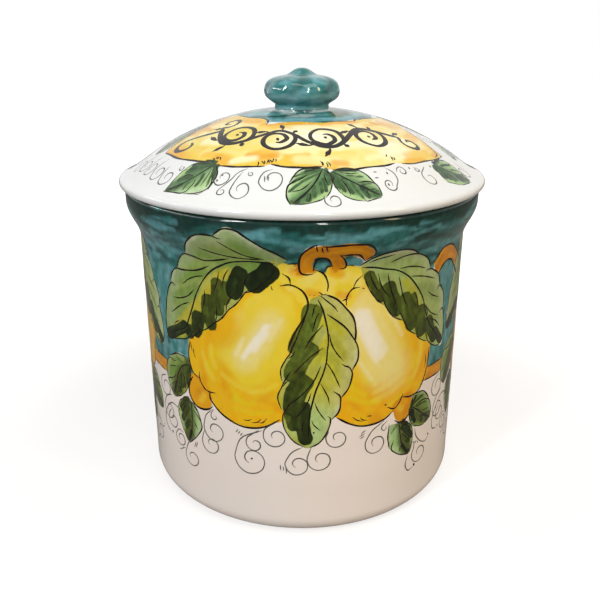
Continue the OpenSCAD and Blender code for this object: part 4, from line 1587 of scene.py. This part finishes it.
def paint_layer_group():
    """One paint over another: covers where its area is positive, with a brushed edge and thin spots."""
    tree, given, out, new = group(
        "Paint layer",
        [("Under", "NodeSocketColor", None), ("Paint", "NodeSocketColor", None),
         ("Area", "NodeSocketFloat", 0.0), ("Edge", "NodeSocketFloat", 0.3),
         ("Wander", "NodeSocketFloat", 0.6), ("Thin", "NodeSocketFloat", 0.2),
         ("Pool", "NodeSocketFloat", 0.0), ("Bristles", "NodeSocketFloat", 0.2)],
        [("Color", "NodeSocketColor")],
    )
    if new:
        rough = math_node(tree, "SUBTRACT", noise(tree, 420, 3), 0.5)
        moved = math_node(
            tree, "ADD", given.outputs["Area"], math_node(tree, "MULTIPLY", rough, given.outputs["Wander"])
        )
        low = math_node(tree, "MULTIPLY", given.outputs["Edge"], -1.0)
        cover = ramp(tree, moved, low, given.outputs["Edge"], eased=True)
        holes = ramp(tree, noise(tree, 190, 4, (1, 1, 0.8)), 0.42, 0.7)
        thin = math_node(tree, "SUBTRACT", 1.0, math_node(tree, "MULTIPLY", holes, given.outputs["Thin"]))
        share = math_node(tree, "MULTIPLY", cover, thin)
        rim = ramp(tree, moved, 1.5, 0.3, eased=True)
        pooled = math_node(tree, "SUBTRACT", 1.0, math_node(tree, "MULTIPLY", rim, given.outputs["Pool"]))
        bristles = math_node(tree, "SUBTRACT", noise(tree, 380, 5, (1, 1, 0.7)), 0.5)
        uneven = math_node(tree, "ADD", 1.0, math_node(tree, "MULTIPLY", bristles, given.outputs["Bristles"]))
        load = math_node(tree, "MULTIPLY", pooled, uneven)
        paint = node(
            tree, "ShaderNodeVectorMath", {0: given.outputs["Paint"], "Scale": load}, operation="SCALE"
        )
        tree.links.new(mix_colour(tree, share, given.outputs["Under"], paint.outputs[0]), out.inputs["Color"])
    return tree


def tin_glaze_group():
    """The white tin glaze: a warm drift of colour, fine specks, and the ripple of its surface."""
    tree, given, out, new = group(
        "Tin glaze",
        [("White", "NodeSocketColor", None), ("Cream", "NodeSocketColor", None),
         ("Ripple", "NodeSocketFloat", 0.1)],
        [("Color", "NodeSocketColor"), ("Roughness", "NodeSocketFloat"), ("Normal", "NodeSocketVector")],
    )
    if new:
        drift = ramp(tree, noise(tree, 14, 4), 0.35, 0.7)
        tone = mix_colour(tree, drift, given.outputs["White"], given.outputs["Cream"])
        specks = ramp(tree, noise(tree, 900, 1), 0.76, 0.84, 0, 0.35)
        tree.links.new(mix_colour(tree, specks, tone, (0.22, 0.15, 0.09, 1)), out.inputs["Color"])
        tree.links.new(ramp(tree, noise(tree, 60, 4), 0, 1, 0.05, 0.12), out.inputs["Roughness"])
        slow, fine = noise(tree, 55, 2), noise(tree, 420, 2)
        height = math_node(tree, "ADD", slow, math_node(tree, "MULTIPLY", fine, 0.08))
        bump = node(
            tree, "ShaderNodeBump", {"Height": height, "Distance": 0.002, "Strength": given.outputs["Ripple"]}
        )
        tree.links.new(bump.outputs[0], out.inputs["Normal"])
    return tree


def use_group(tree, made, **inputs):
    """Places a node group with its own values."""
    return node(tree, "ShaderNodeGroup", {k.replace("_", " "): v for k, v in inputs.items()}, node_tree=made)


def start_material(name):
    """A node material with its Principled shader, as the material, its tree and the shader."""
    material = bpy.data.materials.new(name)
    material.use_nodes = True
    tree = material.node_tree
    shader = tree.nodes["Principled BSDF"]
    shader.inputs["Specular IOR Level"].default_value = 0.25
    return material, tree, shader


def rgba(shown):
    """A colour as written on screen, for a colour socket."""
    return (*linear(shown), 1.0)


def painted_glaze(name, colours, white, warmth):
    """The glaze of a painted skin: white, then ground, fruit, leaf and dark dabs; bare clay below."""
    material, tree, shader = start_material(name)
    glaze = use_group(
        tree, tin_glaze_group(), White=rgba(white), Cream=rgba(blend(white, colours.cream, warmth))
    )
    split = node(tree, "ShaderNodeSeparateXYZ", {0: attribute(tree, "areas", "Vector")})
    dabs = node(tree, "ShaderNodeSeparateXYZ", {0: attribute(tree, "dab_areas", "Vector")})
    under = glaze.outputs["Color"]
    layers = (
        ("ground", split.outputs[0], 0.4, 1.3, 0.015, 0.0, 1.15),
        ("fruit", split.outputs[1], 0.25, 0.5, 0.01, 0.06, 0.1),
        ("leaf", split.outputs[2], 0.25, 0.5, 0.03, 0.08, 0.6),
        ("dab", dabs.outputs[0], 0.25, 0.6, 0.02, 0.16, 1.6),
        ("dab_over", dabs.outputs[1], 0.25, 0.6, 0.02, 0.16, 1.6),
    )
    for field, area, edge, wander, thin, pool, bristles in layers:
        paint = attribute(tree, field + "_paint", "Vector")
        layer = use_group(
            tree, paint_layer_group(), Under=under, Paint=paint, Area=area, Edge=edge, Wander=wander,
            Thin=thin, Pool=pool, Bristles=bristles,
        )
        under = layer.outputs["Color"]
    bare = dabs.outputs[2]
    burnt = blend(colours.clay, (0.4, 0.26, 0.16), 0.5)
    grit = mix_colour(tree, noise(tree, 700, 4), rgba(colours.clay), rgba(burnt))
    tree.links.new(mix_colour(tree, bare, under, grit), shader.inputs["Base Color"])
    rough = math_node(tree, "ADD", ramp(tree, bare, 0, 1, 0, 0.7), glaze.outputs["Roughness"])
    tree.links.new(rough, shader.inputs["Roughness"])
    tree.links.new(glaze.outputs["Normal"], shader.inputs["Normal"])
    return material


def ink_paint(name, full, thin):
    """Brush ink under the glaze: full and dark where the brush pressed, brown and thin at its ends."""
    material, tree, shader = start_material(name)
    pull = math_node(tree, "ADD", math_node(tree, "MULTIPLY", noise(tree, 200, 3), 1.1), 0.45)
    share = ramp(tree, math_node(tree, "MULTIPLY", attribute(tree, "load"), pull), 0, 1)
    tree.links.new(mix_colour(tree, share, rgba(thin), rgba(full)), shader.inputs["Base Color"])
    tree.links.new(ramp(tree, noise(tree, 300, 2), 0, 1, 0.1, 0.2), shader.inputs["Roughness"])
    return material


def palette(colours):
    """Every paint as linear values, by name."""
    return SimpleNamespace(**{key: linear(getattr(colours, key)) for key in own_keys(colours)})


# ---------------------------------------------------------------- operators


class BISCUITJAR_OT_jar_skin(bpy.types.Operator):
    """Make the jar's glazed and painted skin"""

    bl_idname = "biscuit_jar.jar_skin"
    bl_label = "Jar skin"

    def execute(self, context):
        sizes, colours = in_millimetres(context.scene.jar_sizes), context.scene.jar_colours
        tones, radius = palette(colours), RIM_R - sizes.flare
        profile = jar_profile(sizes)
        rim_row = int(np.argmax(profile[:, 1] > RIM_Z - 1e-6))
        heel_row = int(np.argmax((profile[:, 0] >= radius - sizes.heel - 0.01) & (profile[:, 1] < 0.01)))
        coarse = {*range(1, heel_row - 1), *range(rim_row + MOUTH_ROWS, len(profile))}
        points, faces, angles, rows = revolve(profile, SIDES, stray(sizes), coarse)
        z = points[:, 2]
        painted = (rows >= heel_row) & (rows <= rim_row)
        canvas = Canvas(np.column_stack([angles * radius, z]), painted, 2 * np.pi * radius)
        step = np.r_[0, np.cumsum(np.linalg.norm(np.diff(profile, axis=0), axis=1))]
        painting = wall_painting(tones, radius)
        paint_wall(canvas, painting, tones, step[rim_row] - step[rows] + 0.6)
        # Painted shade: the wall's white and its stronger warm drift are warmer than the lid's, for the warm
        # shade and light reflected onto the wall.
        glaze = painted_glaze("jar_tin_glaze", colours, colours.warm_shaded_wall_white, 0.6)
        piece = build_mesh("jar_glazed", points, faces, glaze)
        on_foot = np.hypot(points[:, 0], points[:, 1]) > radius - sizes.heel - sizes.foot - 1
        store_canvas(piece, canvas, smooth((GLAZE_LOW - z) / GLAZE_EDGE) * on_foot)
        dress(piece, "jar", "body_glaze", "jar_body")
        return {"FINISHED"}


class BISCUITJAR_OT_lid_skin(bpy.types.Operator):
    """Make the lid's glazed and painted skin"""

    bl_idname = "biscuit_jar.lid_skin"
    bl_label = "Lid skin"

    def execute(self, context):
        sizes, colours = in_millimetres(context.scene.jar_sizes), context.scene.jar_colours
        tones = palette(colours)
        profile, outer = lid_sections(sizes)
        under = len(profile) - 1 - outer
        points, faces, _, rows = revolve(profile[::-1], SIDES, stray(sizes), {*range(1, under - 1)})
        canvas = Canvas(points[:, :2].copy(), rows > under)
        canvas.colours["ground"][:] = tones.teal
        canvas.lay(lid_painting(tones))
        piece = build_mesh(
            "lid_glazed", points, faces, painted_glaze("lid_tin_glaze", colours, colours.white, 0.15)
        )
        store_canvas(piece, canvas, np.zeros(len(points)))
        dress(piece, "lid", "lid_glaze", "lid")
        return {"FINISHED"}


class BISCUITJAR_OT_brushwork(bpy.types.Operator):
    """Lay the outlines, veins and scrolls on the wall and the lid"""

    bl_idname = "biscuit_jar.brushwork"
    bl_label = "Brushwork"

    def execute(self, context):
        sizes, colours = in_millimetres(context.scene.jar_sizes), context.scene.jar_colours
        tones, radius = palette(colours), RIM_R - sizes.flare
        ink = ink_paint("brush_ink", colours.ink, colours.ink_thin)
        grey = ink_paint("scroll_ink", colours.scroll, blend(colours.scroll, colours.white, 0.4))
        profile, outer = lid_sections(sizes)
        for body, slot, painting, surface in (
            ("jar", "body_glaze", wall_painting(tones, radius), wall_surface(sizes, radius)),
            ("lid", "lid_glaze", lid_painting(tones), lid_surface(sizes, profile[1 : outer + 1])),
        ):
            dress(lay_ribbons(body + "_outlines", painting.lines, surface, ink), body, slot)
            dress(lay_ribbons(body + "_scrolls", painting.scrolls, surface, grey), body, slot)
        return {"FINISHED"}


def knob_outline(s, tall):
    """Half outline of the knob above its seat: its neck, underside, crown and drawn-up tip."""
    full, neck, top = KNOB_HIGH.x / MM, s.neck, s.neck_height
    belly, shoulder = [full, s.belly], [s.shoulder, s.shoulder_height]
    return np.vstack([
        [[0, -KNOB_SUNK], [neck, -KNOB_SUNK]],
        bezier([[neck, 0.4], [neck, top], [neck, top], [neck + 0.3, top + 0.4]], 4),
        bezier([[neck + 0.4, top + 0.6], [neck + (full - neck) * 0.6, 4.2], [full, 5.2], belly], 14)[1:],
        bezier([belly, [full, 14.7], [15.8, s.shoulder_height - 1], shoulder], 18)[1:],
        bezier([shoulder, [5.9, s.shoulder_height + 0.7], [4.3, tall], [0.4, tall]], 12)[1:],
        [[0, tall]],
    ])


class BISCUITJAR_OT_knob_skin(bpy.types.Operator):
    """Make the knob's glazed skin"""

    bl_idname = "biscuit_jar.knob_skin"
    bl_label = "Knob skin"

    def execute(self, context):
        s, colours = in_millimetres(context.scene.jar_sizes), context.scene.jar_colours
        tall = TIP_Z - SEAT_Z
        outline = knob_outline(s, tall)
        rows = outline[1:-1]
        up = rows[:, 1:2]
        h = np.clip(up / tall, 0, 1)
        theta = 2 * np.pi * np.arange(KNOB_SIDES) / KNOB_SIDES
        pressed = np.sin(np.pi * h) ** 0.8 * ((1 + np.cos(KNOB_LOBES * theta)) / 2) ** 2
        r = rows[:, :1] - s.groove * pressed
        turn = theta + math.radians(KNOB_TWIST) * h
        grid = np.stack([r * np.cos(turn), r * np.sin(turn), np.broadcast_to(up + SEAT_Z, r.shape)], -1)
        points, faces, _, _ = revolve(outline, KNOB_SIDES)
        points[: r.size] = grid.reshape(-1, 3)
        points[-2:, 2] += SEAT_Z
        piece = build_mesh("knob_glazed", points, faces, knob_glaze(colours))
        store(piece, "groove", np.r_[pressed.ravel(), 0, 0])
        neck_bare = 0.6 * smooth((1.7 - up) / 1.1) * (0.8 + 0.2 * np.sin(5 * turn + 1))
        # A paler band round the knob's belly.
        belly_band = 0.55 * np.exp(-(((up - 6.6) / 1.9) ** 2)) * (0.8 + 0.2 * np.sin(2 * turn + 2))
        store(piece, "paleness", np.r_[np.maximum(neck_bare, belly_band).ravel(), 0, 0])
        dress(piece, "lid", "knob_glaze", "lid_knob")
        return {"FINISHED"}


def knob_glaze(colours):
    """Teal glaze brushed over the knob, deep in its grooves, pale where it runs thin at the neck and in a
    band round its belly.
    """
    material, tree, shader = start_material("knob_teal_glaze")
    glaze = use_group(tree, tin_glaze_group(), Ripple=0.2)
    brushed = ramp(tree, noise(tree, 95, 4, (1, 1, 1.7)), 0.43, 0.57)
    pale = blend(colours.knob_teal, colours.pool_blue, 0.8)
    tone = mix_colour(tree, brushed, rgba(colours.knob_teal), rgba(pale))
    deep = math_node(tree, "MULTIPLY", attribute(tree, "groove"), 0.5)
    worn = math_node(tree, "ADD", math_node(tree, "MULTIPLY", noise(tree, 110, 4), 0.9), 0.55)
    ragged = math_node(tree, "MULTIPLY", attribute(tree, "paleness"), worn)
    for share, paint in (
        (deep, colours.teal_dark),
        (ramp(tree, noise(tree, 70, 3, (1, 1, 0.5)), 0.6, 0.8, 0, 0.5), colours.teal_pale),
        (ramp(tree, ragged, 0, 0.5), blend(colours.teal_pale, colours.pool_blue, 0.5)),
        (ramp(tree, ragged, 0.72, 0.95), blend(colours.white, colours.teal_pale, 0.25)),
    ):
        tone = mix_colour(tree, share, tone, rgba(paint))
    tree.links.new(tone, shader.inputs["Base Color"])
    shader.inputs["Specular IOR Level"].default_value = 0.5
    tree.links.new(glaze.outputs["Roughness"], shader.inputs["Roughness"])
    tree.links.new(glaze.outputs["Normal"], shader.inputs["Normal"])
    return material


def softbox(name, at, look_at, size, power, shown, glint):
    """A rectangular lamp that faces a point; a glint is only mirrored in the glaze."""
    lamp = bpy.data.lights.new(name, "AREA")
    lamp.shape = "RECTANGLE"
    lamp.size, lamp.size_y = size
    lamp.energy, lamp.color = power, shown
    made = bpy.data.objects.new(name, lamp)
    made.location = at
    made.rotation_euler = (Vector(look_at) - Vector(at)).to_track_quat("-Z", "Y").to_euler()
    made.visible_diffuse = not glint
    bpy.context.scene.collection.objects.link(made)


def floor_paper():
    """White paper that keeps a soft shadow by the jar and fades to plain white further out."""
    material, tree, shader = start_material("stage_floor_paper")
    shader.inputs["Base Color"].default_value = (0.3, 0.285, 0.27, 1)
    shader.inputs["Roughness"].default_value = 0.9
    shader.inputs["Specular IOR Level"].default_value = 0.0
    at = node(tree, "ShaderNodeTexCoord").outputs["Object"]
    far = node(tree, "ShaderNodeVectorMath", {0: at}, operation="LENGTH").outputs["Value"]
    fade = ramp(tree, far, 0.15, 0.42, eased=True)
    seen = node(tree, "ShaderNodeLightPath").outputs["Is Camera Ray"]
    shader.inputs["Emission Color"].default_value = (1, 1, 1, 1)
    lift = math_node(tree, "MULTIPLY", seen, ramp(tree, fade, 0, 1, 0.72, 1.05))
    tree.links.new(lift, shader.inputs["Emission Strength"])
    return material


def studio_world(s):
    """Even light from all round, which the camera sees as white, also mirrored or through glass."""
    world = bpy.data.worlds.new("studio")
    world.use_nodes = True
    sky = world.node_tree
    seen = node(sky, "ShaderNodeLightPath")
    strength = s.sky
    for ray in ("Is Camera Ray", "Is Glossy Ray", "Is Transmission Ray"):
        strength = math_node(sky, "MAXIMUM", seen.outputs[ray], strength)
    background = sky.nodes["Background"]
    background.inputs["Color"].default_value = (1, 1, 1, 1)
    sky.links.new(strength, background.inputs["Strength"])
    return world


def set_camera(scene, s):
    """A camera in front of the jar that looks down on its lid."""
    camera = bpy.data.objects.new("camera", bpy.data.cameras.new("camera"))
    scene.collection.objects.link(camera)
    scene.camera = camera
    camera.location = (0, -s.distance, RIM_Z * MM + s.height)
    camera.rotation_euler = (math.pi / 2 - s.tilt, 0, 0)
    camera.data.sensor_width = 36
    camera.data.lens = s.focal
    camera.data.shift_x = s.sideways


class BISCUITJAR_OT_stage(bpy.types.Operator):
    """Set the floor, the light and the camera"""

    bl_idname = "biscuit_jar.stage"
    bl_label = "Stage"

    def execute(self, context):
        scene, s = context.scene, context.scene.jar_stage
        scene.view_settings.view_transform = "Standard"
        bpy.ops.mesh.primitive_plane_add(size=8)
        floor = context.object
        floor.name = "stage_floor"
        floor.data.materials.append(floor_paper())
        scene.world = studio_world(s)
        middle, white = (0, 0, RIM_Z * MM * 0.6), (1, 1, 1)
        for name, at, size, power, shown, glint in (
            ("overhead", (0.26, -0.55, 1.25), (1.1, 0.8), 8.8, (1, 0.99, 0.975), False),
            ("window_left", (-0.75, -0.9, 0.75), (0.12, 0.4), 8.4, white, False),
            ("window_right", (0.9, -0.6, 0.6), (0.16, 0.5), 3.9, (1, 0.79, 0.48), False),
            ("glint_left", (-0.9, -0.87, 0.78), (0.14, 0.9), 12, white, True),
            ("glint_side", (-1.25, -0.1, 0.6), (1.1, 0.12), 6, white, True),
            ("glint_front", (0.26, -1.23, 0.78), (0.14, 0.9), 12, white, True),
        ):
            softbox(name, at, middle, size, power * s.light, shown, glint)
        set_camera(scene, s)
        return {"FINISHED"}


class BISCUITJAR_PT_panel(bpy.types.Panel):
    """Lists the jar's pieces, sizes and colours"""

    bl_label = "Biscuit Jar"
    bl_space_type = "VIEW_3D"
    bl_region_type = "UI"
    bl_category = "Biscuit Jar"

    def draw(self, context):
        for operator in OPERATORS:
            self.layout.operator(operator.bl_idname)
        for settings in (context.scene.jar_sizes, context.scene.jar_colours, context.scene.jar_stage):
            box = self.layout.box()
            for key in own_keys(settings):
                box.prop(settings, key)


SETTINGS = (("jar_sizes", JarSizes), ("jar_colours", GlazeColours), ("jar_stage", StageSettings))
OPERATORS = (
    BISCUITJAR_OT_stage, BISCUITJAR_OT_jar_skin, BISCUITJAR_OT_lid_skin,
    BISCUITJAR_OT_knob_skin, BISCUITJAR_OT_brushwork,
)


def register():
    """Adds the settings, operators and panel to Blender."""
    for _, settings in SETTINGS:
        bpy.utils.register_class(settings)
    for made in (*OPERATORS, BISCUITJAR_PT_panel):
        bpy.utils.register_class(made)
    for name, settings in SETTINGS:
        setattr(bpy.types.Scene, name, bpy.props.PointerProperty(type=settings))


def unregister():
    """Takes them out again."""
    for name, settings in reversed(SETTINGS):
        delattr(bpy.types.Scene, name)
    for made in (BISCUITJAR_PT_panel, *reversed(OPERATORS)):
        bpy.utils.unregister_class(made)
    for _, settings in reversed(SETTINGS):
        bpy.utils.unregister_class(settings)


def main():
    """Registers the add-on and builds the whole jar: its stage, skins and brushwork."""
    register()
    bpy.ops.biscuit_jar.stage()
    bpy.ops.biscuit_jar.jar_skin()
    bpy.ops.biscuit_jar.lid_skin()
    bpy.ops.biscuit_jar.knob_skin()
    bpy.ops.biscuit_jar.brushwork()


if __name__ == "__main__":
    main()
